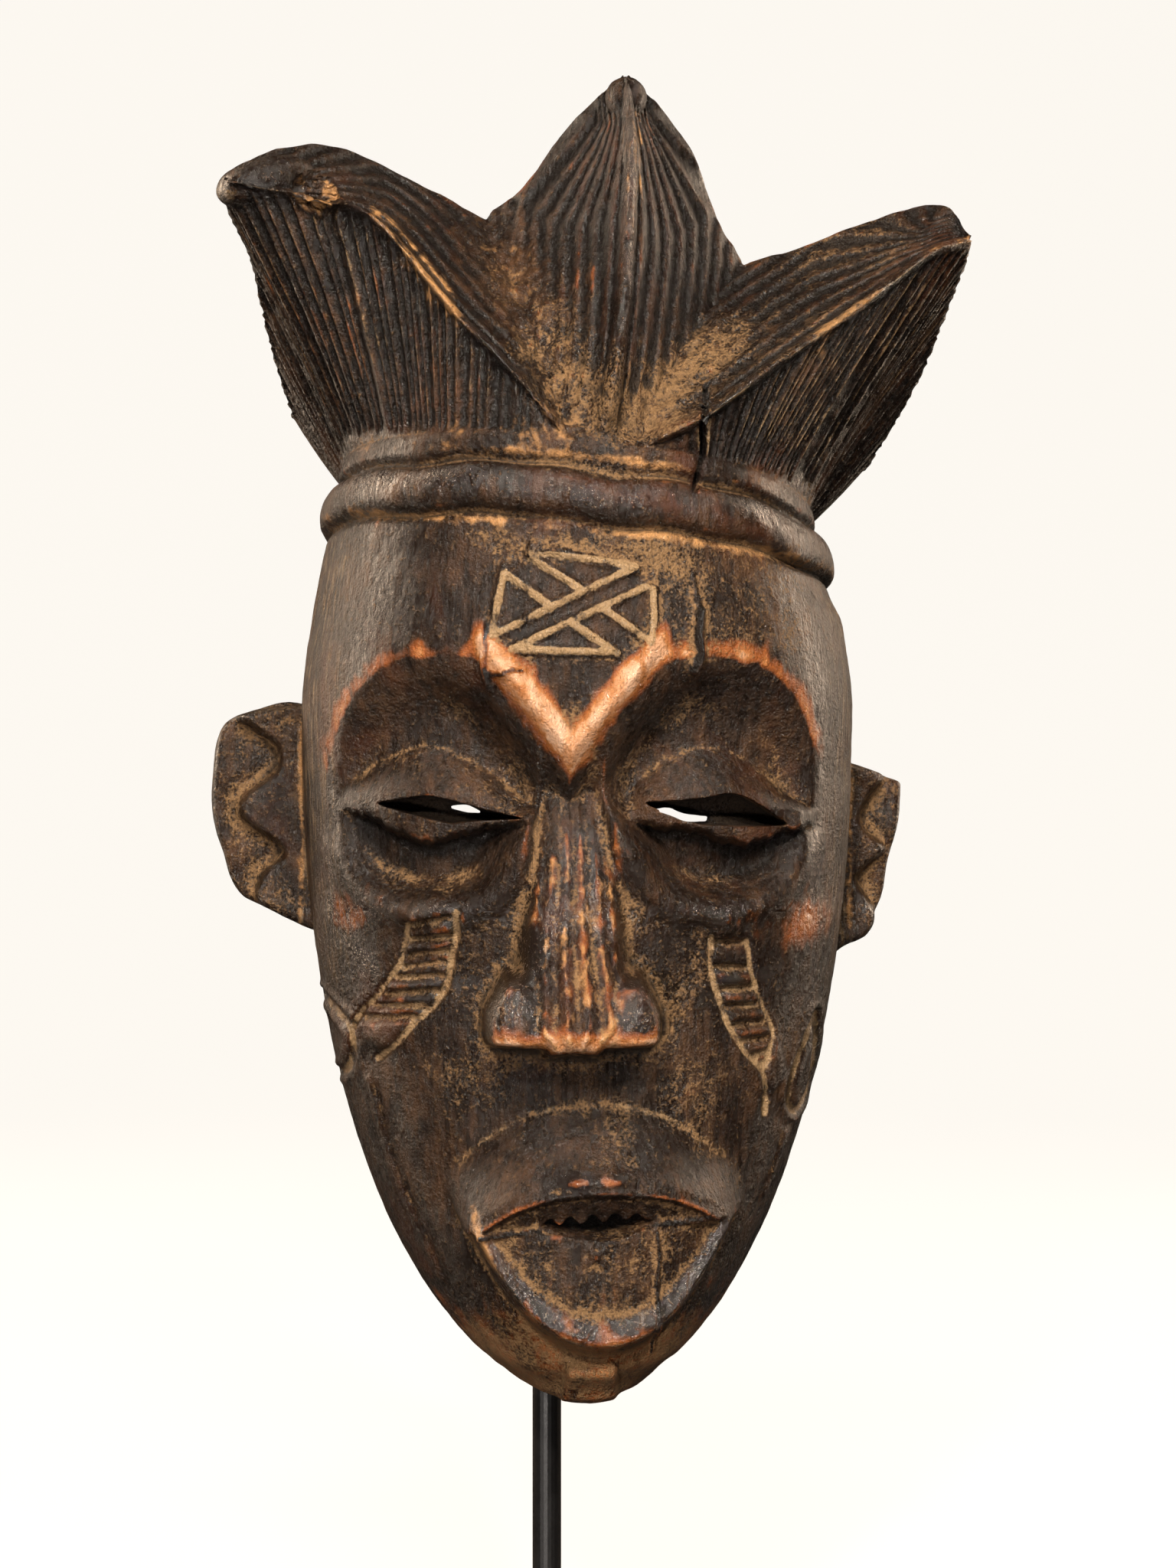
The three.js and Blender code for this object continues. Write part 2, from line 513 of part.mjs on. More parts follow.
// Forehead knot: two long diagonals, the short ones they interrupt, and four closing lines.
const KNOT = [
  [[-25.2, 197], [10, 214.2]], [[-20.3, 193.6], [12.7, 208.8]],
  [[-21.8, 212.3], [-11.5, 205.3]], [[-15.5, 216.2], [-3.6, 209.2]],
  [[3.3, 203.4], [14, 195.6]], [[-5.5, 200.5], [5.2, 192.9]],
  [[-22, 212.9], [-25.2, 197]], [[-14.7, 217.7], [10, 214.2]], [[15, 208.3], [14.6, 196]],
  [[-19.9, 193.8], [4.6, 193]],
];

// Cheek ladders: raised rungs that fan out along a curve from under the eye towards the jaw.
const LADDERS = [
  { inner: [[-34, 125], [-36, 112], [-41, 101], [-51, 92]],
    outer: [[-46, 124], [-48, 115], [-52, 107], [-60, 100]] },
  { inner: [[31, 121], [32, 109], [36, 98], [44, 87]], outer: [[41, 120], [43, 110], [47, 99], [51, 91]] },
];
const RUNGS = 8;

function ladder({ inner, outer }) {
  const [a, b] = [inner, outer].map((line) => chain(line.map(([x, z]) => [x, 0, z])));
  const flat = (curve, t) => [curve(t)[0], curve(t)[2]];
  return Array.from({ length: RUNGS }, (_, i) => {
    const t = i / (RUNGS - 1);
    return bar([flat(a, t), flat(b, t)], LINE.rung, -1.5, LINE.rungRise);
  });
}

// Ears: a flat plate with a thicker inner part that ends in a zigzag.
function ear(side, { z, half, reach }) {
  const turn = Array.from({ length: 11 }, (_, i) => (i / 10 - 0.5) * Math.PI);
  const round = (v) => Math.sign(v) * Math.abs(v) ** 0.8;
  const plate = turn.map((a) => [side * (EAR.x + reach * round(Math.cos(a))), z + half * round(Math.sin(a))]);
  const root = side * (EAR.x - EAR.root);
  const zigzag = [0.64, 0.3, 0.72, 0.24, 0.5, 0.52].map((out, i) => [side * (EAR.x + reach * out),
    z + half * [0.84, 0.37, -0.03, -0.41, -0.58, -0.86][i]]);
  const back = EAR.f - EAR.thick;
  const raised = EAR.f + EAR.step;
  return [
    slab([[root, z - half * 0.8], ...plate, [root, z + half * 0.8]], EAR.f, back),
    slab([[root, z + half * 0.8], ...zigzag, [root, z - half * 0.8]], raised, back + 1),
  ];
}

const finish = (name, color, roughness, metalness) => new THREE.MeshStandardMaterial({ name, color, roughness,
  metalness });
const wood = finish("carved_wood", 0x2a1b12, 0.5, 0);
const steel = finish("black_steel", 0x141414, 0.45, 0.6);

function roundEnd({ at, size, tilt = 0 }) {
  const ball = new THREE.SphereGeometry(1, 9, 6).scale(...size).rotateY(tilt);
  return manifoldOf(ball.translate(...place(at)));
}

function mask() {
  const buried = (keel) => keel.map(([x, f, z]) => [x * 0.97, f - 8, z - 6]);
  const joined = [
    crownWall(),
    crownLobe([buried(LEFT_KEEL), LEFT_KEEL, LEFT_EDGE], [false, true]),
    crownLobe([MIDDLE_LEFT, MIDDLE_KEEL, MIDDLE_RIGHT], [true, true]),
    crownLobe([buried(RIGHT_KEEL), RIGHT_KEEL, RIGHT_EDGE], [false, true]),
    roundEnd(BEAK),
    roundEnd(TIP),
    ...ear(-1, EAR.left),
    ...ear(1, EAR.right),
    ...LADDERS.flatMap(ladder),
  ];
  const cut = [
    hollow(),
    ...EYES.map((e) => slab(slit(e.x - e.half, e.x + e.half, e.z, 2 * e.open), 90, e.deep, 0.5)),
    ...EYES.map((e) => slab(slit(...e.hole, e.holeZ, e.holeHigh), 90, 10)),
    slab(slit(MOUTH.x - MOUTH.half, MOUTH.x + MOUTH.half, MOUTH.z, MOUTH.lips), 90, 52, 0.6),
    slab(slit(MOUTH.left, MOUTH.right, MOUTH.z, MOUTH.high), 90, 20),
    ...KNOT.map(([a, b]) => bar(along(a, b, 3), LINE.wide, -LINE.deep, 3)),
  ];
  const whole = joined.reduce((made, piece) => made.add(piece), head());
  const carved = cut.reduce((made, piece) => made.subtract(piece), whole);
  return meshOf("mask", largest(carved.simplify(SMOOTH)), wood);
}

// Stand: a plate, a rod, and a saddle bent to the roof of the hollow, which carries the mask.
function footPlate() {
  const w = FOOT.wide / 2 - FOOT.edge;
  const d = FOOT.deep / 2 - FOOT.edge;
  const outline = new THREE.Shape([[-w, -d], [w, -d], [w, d], [-w, d]].map((p) => new THREE.Vector2(...p)));
  const geometry = new THREE.ExtrudeGeometry(outline, { depth: FOOT.thick - 2 * FOOT.edge, bevelSegments: 2,
    bevelThickness: FOOT.edge, bevelSize: FOOT.edge });
  geometry.translate(0, FOOT.y, FOOT.edge);
  return meshOf("stand_foot", manifoldOf(geometry), steel);
}

const saddleTop = CHIN_LIFT + HOLLOW.topZ - SADDLE.clear;

function rod() {
  const bottom = FOOT.thick + GAP;
  const tall = saddleTop - SADDLE.thick - GAP - bottom;
  const geometry = new THREE.CylinderGeometry(ROD.radius, ROD.radius, tall, 24);
  geometry.rotateX(Math.PI / 2).translate(0, ROD.y, bottom + tall / 2);
  return meshOf("stand_rod", manifoldOf(geometry), steel);
}

function saddle() {
  const bend = (x) => -SADDLE.drop * ((x / SADDLE.half) ** 2);
  const xs = Array.from({ length: 9 }, (_, i) => (i / 4 - 1) * SADDLE.half);
  const level = Math.max(...xs.filter((x) => Math.abs(x) <= ROD.radius + 1).map((x) => -bend(x)));
  const top = xs.map((x) => [x, saddleTop + bend(x)]);
  const under = xs.map((x) => [x, saddleTop - SADDLE.thick + Math.min(bend(x) + level, 0)]).reverse();
  const ring = (y) => [...top, ...under].map(([x, z]) => [x, y, z]);
  const ends = [-1, 1].map((end) => ring(ROD.y + (end * SADDLE.deep) / 2));
  return meshOf("stand_saddle", ringSolid(ends), steel);
}

const chokweMask = new THREE.Group();
chokweMask.add(mask(), rod(), saddle(), footPlate());

export default chokweMask;
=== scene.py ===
# A carved wooden face mask with a fluted, three-lobed crown, held up on a black steel stand.
# Each section makes one part of it, from the view and the bare head to the wear on the wood.
import math

import bmesh
import bpy
import numpy as np
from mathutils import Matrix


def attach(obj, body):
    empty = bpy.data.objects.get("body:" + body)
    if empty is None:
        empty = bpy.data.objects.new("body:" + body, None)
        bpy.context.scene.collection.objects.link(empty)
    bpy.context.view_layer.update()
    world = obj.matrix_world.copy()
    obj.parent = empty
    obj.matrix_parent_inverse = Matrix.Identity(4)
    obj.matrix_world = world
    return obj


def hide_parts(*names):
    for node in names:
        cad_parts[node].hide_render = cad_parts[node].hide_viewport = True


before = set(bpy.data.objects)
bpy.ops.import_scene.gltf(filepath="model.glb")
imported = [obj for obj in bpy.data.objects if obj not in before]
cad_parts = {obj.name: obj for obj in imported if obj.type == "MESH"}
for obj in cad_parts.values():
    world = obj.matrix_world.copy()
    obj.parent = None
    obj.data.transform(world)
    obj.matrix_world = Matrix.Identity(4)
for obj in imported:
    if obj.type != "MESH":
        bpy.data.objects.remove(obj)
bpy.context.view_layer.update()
bpy.ops.object.select_all(action="DESELECT")

# View
# The camera stands level with the root of the nose, a little to the left of straight ahead, with
# the mask's middle just left of the picture's middle.
MASK_SHIFT, CHIN_LIFT = 7.5, 100.0  # mm, from the mask's own middle and chin to the stand's axes
EYE_LEVEL = 160.0  # mm above the chin
CAMERA_AWAY = 0.780
CAMERA_TURN = math.radians(3.5)
FOCAL_PIXELS, PHOTO_HIGH, PHOTO_OFF = 3712.0, 2048.0, 15.0
SENSOR = 36.0

camera = bpy.data.cameras.new("camera")
camera.sensor_fit = "VERTICAL"
camera.sensor_height = SENSOR
camera.lens = FOCAL_PIXELS / PHOTO_HIGH * SENSOR
camera.clip_start, camera.clip_end = 0.01, 20.0
viewer = bpy.data.objects.new("camera", camera)
bpy.context.scene.collection.objects.link(viewer)
ahead = np.array([math.sin(CAMERA_TURN), math.cos(CAMERA_TURN), 0.0])
rightward = np.array([math.cos(CAMERA_TURN), -math.sin(CAMERA_TURN), 0.0])
mask_middle = np.array([MASK_SHIFT / 1000, 0.0, (CHIN_LIFT + EYE_LEVEL) / 1000])
off_middle = PHOTO_OFF / FOCAL_PIXELS * CAMERA_AWAY
viewer.location = mask_middle - ahead * CAMERA_AWAY + rightward * off_middle
viewer.rotation_euler = (math.pi / 2, 0.0, -CAMERA_TURN)
bpy.context.scene.camera = viewer

# The bare head
# An egg of wood, widest above the eyes and drawn in to a narrow chin, with a rolled band round the
# brow. Lengths are millimetres: x across, f forward from the widest section, z up from the chin.
WIDEST, WIDEST_Z, BOTTOM_Z, EGG, PLAN = 75.0, 180.0, -3.0, 2.2, 2.2
TEMPLE_LOSS, RIM_BACK, RIM_CHIN, COLLAR_TOP = 8.8, 45.0, 4.0, 250.0
FRONT = np.array([[-3, 36], [3, 48], [12, 56], [26, 59], [60, 58], [100, 58], [128, 62], [160, 66],
                  [192, 70], [222, 67], [250, 66]], float)
BAND_Z, BAND_HALF, BAND_BULGE, BAND_GROOVE = 232.5, 6.2, 3.6, 1.5
BAND_TIP, BAND_BACK = 0.104, 0.1  # how far the band drops to the right, and towards the back


def ease(low, high, value):
    t = np.clip((value - low) / (high - low), 0.0, 1.0)
    return t * t * (3 - 2 * t)


def hump(distance, wide):
    return np.exp(-((distance / wide) ** 2))


def mix(a, b, share):
    return a + (b - a) * share


def profile(table, at):
    i = np.clip(np.searchsorted(table[:, 0], at, side="right") - 1, 0, len(table) - 2)
    return mix(table[i, 1], table[i + 1, 1], ease(table[i, 0], table[i + 1, 0], at))


def band_roll(z):
    d = (z - BAND_Z) / BAND_HALF
    roll = BAND_BULGE * np.sqrt(np.clip(1 - d * d, 0, 1))
    grooves = BAND_GROOVE * hump(np.abs(d) - 1.1, 0.17)
    collar = 1.3 * ease(BAND_Z + BAND_HALF + 1.4, BAND_Z + BAND_HALF + 3, z) - 3.4 * ease(245, 251, z)
    return roll - grooves + collar


def half_width(z):
    below = np.clip((WIDEST_Z - z) / (WIDEST_Z - BOTTOM_Z), 0, 1)
    above = np.clip((z - WIDEST_Z) / (BAND_Z - WIDEST_Z), 0, 9)
    return WIDEST * np.sqrt(1 - below ** EGG) - TEMPLE_LOSS * above ** 1.5 + band_roll(z)


def front_reach(z):
    return profile(FRONT, z) + band_roll(z)


def bare_front(x, z):
    ratio = np.clip(np.abs(x) / half_width(z), 0, 1)
    return front_reach(z) * np.clip(1 - ratio ** PLAN, 0, 1) ** (1 / PLAN)


def tipped(points):
    x, f, z = points[..., 0], points[..., 1], points[..., 2]
    share = ease(200, BAND_Z - 6, z)
    drop = share * (BAND_TIP * x + BAND_BACK * (66 - f))
    drop = drop + (0.7 * np.sin(x / 8.3 + 1) + 0.5 * np.sin(x / 3.9)) * hump(z - BAND_Z, 13)
    return np.stack([x, f, z - drop], -1)


# Brow, eyes, nose and mouth
# The brow runs down to a raised V between two deep sockets, each with a domed lid, a slit, a thin
# lower lid and a round ring below. The nose is fluted and the mouth stands out round a flat plate.
VEE_X, VEE_Z, VEE_SLOPE, VEE_RIDGE = -5.3, 164.0, 1.18, 3.3
SOCKETS = [dict(x=-37, half=31.0, low_x=-41, low_half=27.0),
           dict(x=30, half=31.7, low_x=34, low_half=27.0)]
SOCKET_Z, SOCKET_UP, SOCKET_DOWN, SOCKET_DEEP, SOCKET_LOSE = 150.0, 43.0, 25.0, 15.0, 0.14
LIDS = [dict(x=-38.5,
             top=[(-66, 154), (-62, 160), (-53, 166.5), (-43, 170), (-37, 169.5), (-27, 164.5), (-17, 157),
                  (-12, 152)],
             edge=[(-66, 154), (-57, 152.2), (-48, 147.3), (-40, 144.6), (-37, 146.2), (-31, 147.6),
                   (-22, 149.8), (-12, 151.5)]),
        dict(x=34.5,
             top=[(8, 153), (11, 159.4), (19, 166), (27, 169.5), (35, 169.5), (43, 165), (52, 158),
                  (61, 151)],
             edge=[(8, 153), (16, 149.4), (27, 148.6), (34.5, 145.6), (40, 144.6), (45, 145.6), (51, 147.8),
                   (61, 150)])]
LID_HIGH, LID_HALF, SLIT_LINE = 9.6, 27.0, 153.0
NOSE_X, NOSE_ROOT, NOSE_TIP, NOSE_BASE = -4.5, 159.0, 97.0, 93.5
LIP_X, LIP_HALF, LIP_RISE, LIP_BUMPS, LIP_BUMP_Z = 1.2, 33.0, 13.5, (-3.6, 5.2), 60.4
MOUTH_X, MOUTH_Z, MOUTH_TILT = 3.0, 47.4, 0.05
JAW_X, JAW_BOTTOM, JAW_RISE, JAW_HALF, JAW_ROUND = 3.2, 19.0, 26.0, 31.2, 2.2


def line_height(stations, x):
    xs, zs = np.array(stations, float).T
    return np.interp(x, xs, zs)


def vee_distance(x, z):
    return (VEE_SLOPE * np.abs(x - VEE_X) - (z - VEE_Z)) / math.hypot(1, VEE_SLOPE)


def socket_form(x, z):
    below_vee = vee_distance(x, z)
    cut = np.zeros_like(x)
    ring = np.zeros_like(x)
    for s in SOCKETS:
        low = ease(160, 141, z)
        across = np.abs(x - mix(s["x"], s["low_x"], low)) / mix(s["half"], s["low_half"], low)
        along = np.abs(z - SOCKET_Z) / np.where(z > SOCKET_Z, SOCKET_UP, SOCKET_DOWN)
        power = mix(2.6, 2.3, low)
        r = (across ** power + along ** power) ** (1 / power)
        cut = np.maximum(cut, 1 - ease(mix(0.62, 0.5, low), mix(1.03, 0.84, low), r))
        ring = np.maximum(ring, hump(r - 0.93, 0.15) * ease(0, 9, SOCKET_Z - z))
    between = ease(12, 4, np.abs(x - VEE_X)) * ease(SOCKET_Z - 22, SOCKET_Z - 8, z)
    cut = np.maximum(cut, between) * ease(-1.0, 13, below_vee)
    deep = SOCKET_DEEP - SOCKET_LOSE * np.abs(x - VEE_X)
    ridge = VEE_RIDGE * hump(below_vee + 3.0, 2.9) * ease(27, 17, np.abs(x - VEE_X))
    return ridge - cut * deep + 3.4 * ring


def lid_form(x, z):
    rise = np.zeros_like(x)
    for lid in LIDS:
        top = np.maximum(line_height(lid["top"], x), SLIT_LINE + 0.5)
        edge = line_height(lid["edge"], x) + 0.35 * np.sin(x * 0.9) + 0.25 * np.sin(x * 2.1)
        tall = LID_HIGH * np.sqrt(np.clip(1 - (np.abs(x - lid["x"]) / LID_HALF) ** 2.2, 0, 1))
        tall = tall * ease(LID_HALF, LID_HALF - 7, np.abs(x - lid["x"]))
        up = np.clip((z - SLIT_LINE) / (top - SLIT_LINE), 0, 1)
        dome = tall * np.clip(1 - up ** 1.7, 0, 1)
        rise = np.maximum(rise, dome * ease(edge - 1.2, edge + 0.5, z))
    return rise


def nose_form(x, z):
    d = np.abs(x - NOSE_X)
    down = np.clip((NOSE_ROOT - z) / (NOSE_ROOT - NOSE_TIP), 0, 1)
    flat = mix(4.8, 11.5, down ** 0.8)
    crease = 5.5 + np.clip(z - NOSE_BASE, 0, 30) * 0.95
    flat = np.minimum(flat, crease)
    foot = np.minimum(mix(8.0, 17.5, down ** 0.7), crease + 3.0)
    crest = mix(57.0, 82.0, down ** 0.85) - 2.2 * ease(98, 93, z)
    turn = 4 * math.pi * ((x - NOSE_X) / flat + 0.04 * np.sin(z / 6))
    flutes = (0.5 + 0.5 * np.cos(turn)) ** 0.8 * mix(0.8, 1.5, down)
    flutes = flutes * ease(0, 0.12, down) * ease(1.15, 1.0, d / flat)
    hold = (1 - ease(flat, foot, d)) * ease(NOSE_BASE - 2.6, NOSE_BASE + 0.8, z + 0.12 * d)
    return crest - flutes - 0.02 * d * d, hold * ease(NOSE_ROOT + 6, NOSE_ROOT, z)


def wing_form(x, z):
    d = np.abs(x - NOSE_X)
    bulge = np.clip(1 - ((d - 15.5) / 9.5) ** 2 - ((z - 99) / 14.5) ** 2, 0, 1) ** 0.5
    crest = 69.5 + 9.2 * bulge + 0.2 * (15.5 - d)
    outer = 17.0 + 4.6 * ease(114, 101, z) - 1.2 * ease(97, 93, z)
    hold = ease(outer + 1.6, outer - 1.4, d) * ease(115.5, 109, z)
    hold = hold * ease(NOSE_BASE - 1.6, NOSE_BASE + 1.0, z - 0.05 * d)
    return crest, hold


def lip_arch(x):
    return 78.5 - 13.5 * np.clip(np.abs(x - LIP_X) / LIP_HALF, 0, 1.3) ** 2.2


def lip_edge(x):
    return 57.8 - 9.2 * np.clip(np.abs(x - 4) / 30.5, 0, 1.2) ** 2.6


def jaw_edge(x):
    return JAW_BOTTOM + JAW_RISE * np.clip(np.abs(x - JAW_X) / JAW_HALF, 0, 1.4) ** JAW_ROUND


def mouth_form(x, z, under):
    arch, edge, jaw = lip_arch(x), lip_edge(x), jaw_edge(x)
    line = MOUTH_Z + MOUTH_TILT * (x - MOUTH_X)
    muzzle = ease(LIP_HALF + 7.0, LIP_HALF - 0.5, np.abs(x - mix(JAW_X, LIP_X, ease(45, 65, z))))
    lip = LIP_RISE * np.clip((arch - z) / np.maximum(arch - edge, 1), 0, 1) ** 1.1
    lip = lip - 1.4 * ease(3.4, 0.0, z - edge) + 0.35 * np.cos(x / 3.1) * ease(72, 66, z)
    for bump_x in LIP_BUMPS:
        lip = lip + 2.4 * hump(np.hypot((x - bump_x) * 0.66, (z - LIP_BUMP_Z) * 1.25), 2.6)
    inner = LIP_RISE - 3.6 * ease(0, 2.2, edge - z) - 3.6 * ease(1, 10, edge - z)
    plate = 8.4 - 0.03 * (line - z) - 0.8 * hump(x - JAW_X, 16)
    bevel = 3.6 * np.clip((7.4 - (z - jaw)) / 6.6, 0, 1)
    low = (plate + bevel) * ease(-5.5, 0.4, z - jaw)
    shape = np.where(z > line, np.where(z > edge, lip, inner), low)
    inside = (z < arch) & (z > jaw - 6)
    return under + np.where(inside, shape * muzzle, 0)


def face_front(x, z):
    bare = bare_front(x, z)
    ratio = np.clip(np.abs(x) / half_width(z), 0, 1)
    fade = ease(0.99, 0.88, ratio)
    f = bare + np.where(z < 222, socket_form(x, z) * fade, 0)
    f = f + np.where((z > 116) & (z < 182), lid_form(x, z) * fade, 0)
    f = mouth_form(x, z, f)
    crest, hold = wing_form(x, z)
    f = mix(f, np.maximum(f, crest), hold)
    crest, hold = nose_form(x, z)
    f = mix(f, np.maximum(f, crest), hold)
    boss = ease(8.4, 6.6, np.abs(x - 0.6) + 0.12 * z) * ease(14, 9, z)
    return f + 4.6 * boss - 4.0 * hump(np.hypot(x - 22.5, z - 6), 3)


# Carved lines
# The forehead's knot, the ladders on the cheeks, the ovals and ticks along the jaw, the teeth, and
# the cracks of age. Each is a cut or a rise along the surface, in millimetres.
KNOT = [((-25.2, 197), (11, 214.6)), ((-20.3, 193.6), (13.6, 209.6)), ((-22, 212.9), (-11.5, 205.3)),
        ((-15.5, 216.6), (-3.2, 209.0)), ((3.3, 203.6), (14.4, 195.6)), ((-5.5, 200.5), (6.2, 192.6)),
        ((-22, 213.2), (-25.2, 197)), ((-15, 217.9), (1.5, 216.2)), ((1.5, 216.2), (11, 214.6)),
        ((15.4, 209.2), (15.6, 202.5)), ((15.6, 202.5), (14.6, 195.2)), ((-20.3, 193.6), (6.2, 192.9))]
LADDERS = [
    dict(inner=[(-33.9, 127.5), (-33.9, 121), (-35, 116.6), (-35.5, 112.5), (-37, 107), (-40.6, 102),
                (-45, 98), (-49, 93), (-54, 88.5)],
         outer=[(-46, 124), (-46.8, 120), (-48, 114), (-50.4, 110.7), (-54, 105), (-58, 101), (-60.5, 96)]),
    dict(inner=[(31, 121), (31.5, 111.6), (34, 103.7), (37, 96.5), (41.5, 90), (45.5, 86), (47, 80),
                (47, 74)],
         outer=[(40.5, 120), (42.5, 111), (45.5, 103), (48.5, 96), (47.5, 90), (46.5, 86)]),
]
RUNGS = 8
LEFT_OVAL = [(-69.4, 103.5), (-64, 99), (-61, 95), (-60.6, 90), (-62, 84.5), (-66.5, 81)]
RIGHT_OVAL = [(62.4, 99), (58.3, 90.7), (55, 82.5), (54.5, 76), (57, 73), (61.4, 78), (62.8, 88.6),
              (62.4, 99)]
JAW_LINES = [[(-56.5, 83), (-51, 62), (-43, 43), (-37.5, 31)], [(54, 68), (50.5, 58), (47.5, 51.5)]]
CRACKS = [
    dict(path=[(27.5, 204), (26.8, 198), (27.6, 192.5), (25.6, 189)], wide=0.8, deep=3.0),
    dict(path=[(25.8, 214), (26.6, 208), (27.5, 204)], wide=0.4, deep=0.8),
    dict(path=[(-26.4, 200), (-26.8, 196), (-27.2, 189.5), (-25.6, 184)], wide=0.3, deep=1.8),
    dict(path=[(-26.6, 187.5), (-23, 187.2), (-20, 188.6), (-17.6, 188.2)], wide=0.4, deep=1.0),
    dict(path=[(16.6, 47.2), (17.3, 41), (16.6, 33), (17.2, 24.4), (16.2, 14)], wide=0.1, deep=1.3),
    dict(path=[(-28, 45.4), (-20, 46.6), (-13, 47.4)], wide=0.3, deep=2.0),
    dict(path=[(16, 48.6), (22, 49), (30, 50.2)], wide=0.3, deep=2.0),
]


def path_distance(x, z, path):
    nearest = np.full(x.shape, 1e3)
    for (ax, az), (bx, bz) in zip(path[:-1], path[1:]):
        long = (bx - ax) ** 2 + (bz - az) ** 2
        t = np.clip(((x - ax) * (bx - ax) + (z - az) * (bz - az)) / long, 0, 1)
        nearest = np.minimum(nearest, np.hypot(x - ax - t * (bx - ax), z - az - t * (bz - az)))
    return nearest


def smooth_path(points, count):
    p = np.array(points, float)
    at = np.linspace(0, len(p) - 1, count)
    i = np.clip(at.astype(int), 0, len(p) - 2)
    t = (at - i)[:, None]
    before = p[np.clip(i - 1, 0, len(p) - 1)]
    after = p[np.clip(i + 2, 0, len(p) - 1)]
    a, b = p[i], p[i + 1]
    return 0.5 * (2 * a + (b - before) * t + (2 * before - 5 * a + 4 * b - after) * t ** 2
                  + (3 * a - 3 * b + after - before) * t ** 3)


def knot_distance(x, z):
    return np.minimum.reduce([path_distance(x, z, stroke) for stroke in KNOT])


def ladder_masks(x, z):
    rails, rungs = np.zeros(x.shape), np.zeros(x.shape)
    for ladder in LADDERS:
        inner, outer = smooth_path(ladder["inner"], 22), smooth_path(ladder["outer"], 18)
        rails = np.maximum(rails, ease(1.25, 0.5, path_distance(x, z, inner)))
        rails = np.maximum(rails, ease(1.15, 0.45, path_distance(x, z, outer)))
        inner, outer = smooth_path(ladder["inner"], 60), smooth_path(ladder["outer"], 60)
        for i in range(RUNGS):
            share = (i + 0.4) / RUNGS
            a, b = inner[int(share * 44)], outer[int(share * 58)]
            rung = [mix(a, b, 0.14), mix(a, b, 0.88)]
            rungs = np.maximum(rungs, ease(1.5, 0.6, path_distance(x, z, rung)))
    return rails, rungs


def crack_mask(x, z):
    open_ = np.zeros(x.shape)
    for crack in CRACKS:
        near = path_distance(x, z, crack["path"])
        open_ = np.maximum(open_, crack["deep"] * ease(crack["wide"] + 0.5, crack["wide"] * 0.4, near))
    return open_


def line_depth(x, z):
    depth = -1.25 * ease(1.45, 0.75, knot_distance(x, z))
    rails, rungs = ladder_masks(x, z)
    field = np.zeros(x.shape)
    for ladder in LADDERS:
        middle = mix(smooth_path(ladder["inner"], 12)[:9], smooth_path(ladder["outer"], 9), 0.5)
        field = np.maximum(field, ease(7.5, 4.5, path_distance(x, z, middle)))
    depth = depth - 1.1 * field + 1.5 * rails + 2.2 * rungs * (1 - rails)
    for oval in (LEFT_OVAL, RIGHT_OVAL):
        near = path_distance(x, z, smooth_path(oval, 24))
        depth = depth + 0.9 * ease(1.5, 0.6, near) - 0.6 * hump(near - 2.3, 0.8)
    for line in JAW_LINES:
        near = path_distance(x, z, smooth_path(line, 14))
        depth = depth - 0.8 * ease(1.3, 0.5, near)
    depth = depth - crack_mask(x, z)
    teeth = (np.abs(np.sin((x + 1.5) * math.pi / 5.6)) ** 0.5) * ease(-16, -13, x) * ease(19, 16, x)
    depth = depth + 1.1 * teeth * ease(48.6, 49.6, z) * ease(54, 50.5, z)
    low_teeth = np.clip(np.cos((x - 0.3) * math.pi / 6.0), 0, 1) ** 0.6 * ease(-13, -10, x) * ease(13, 10, x)
    depth = depth + 0.5 * low_teeth * ease(35.5, 38.5, z) * ease(44, 41, z)
    for chip in ([(-0.6, 42.8), (3.0, 39.2)], [(-0.8, 39.6), (3.0, 42.6)]):
        depth = depth - 0.9 * ease(1.2, 0.4, path_distance(x, z, chip))
    return depth


# Even noise for tool marks, chips and stains, the same on every run.
LATTICE = np.random.default_rng(11).random((32, 32, 32))


def mottle(points, size):
    q = np.asarray(points, float) / np.asarray(size, float)
    i = np.floor(q).astype(int)
    t = q - i
    t = t * t * (3 - 2 * t)
    total = np.zeros(q.shape[:-1])
    for corner in range(8):
        c = [(corner >> k) & 1 for k in range(3)]
        weight = np.ones(q.shape[:-1])
        for k in range(3):
            weight = weight * (t[..., k] if c[k] else 1 - t[..., k])
        total += weight * LATTICE[tuple((i[..., k] + c[k]) % 32 for k in range(3))]
    return total


def rough(points, size, octaves=3):
    total, amount = np.zeros(np.asarray(points).shape[:-1]), 1.0
    for k in range(octaves):
        total += amount * (mottle(np.asarray(points) + 17.3 * k, np.asarray(size, float) / 2 ** k) - 0.5)
        amount *= 0.5
    return total


def place(points):
    return np.stack([points[..., 0] + MASK_SHIFT, -points[..., 1], points[..., 2] + CHIN_LIFT], -1) / 1000


def unplace(points):
    x, y, z = points[..., 0] * 1000, points[..., 1] * 1000, points[..., 2] * 1000
    return np.stack([x - MASK_SHIFT, -y, z - CHIN_LIFT], -1)


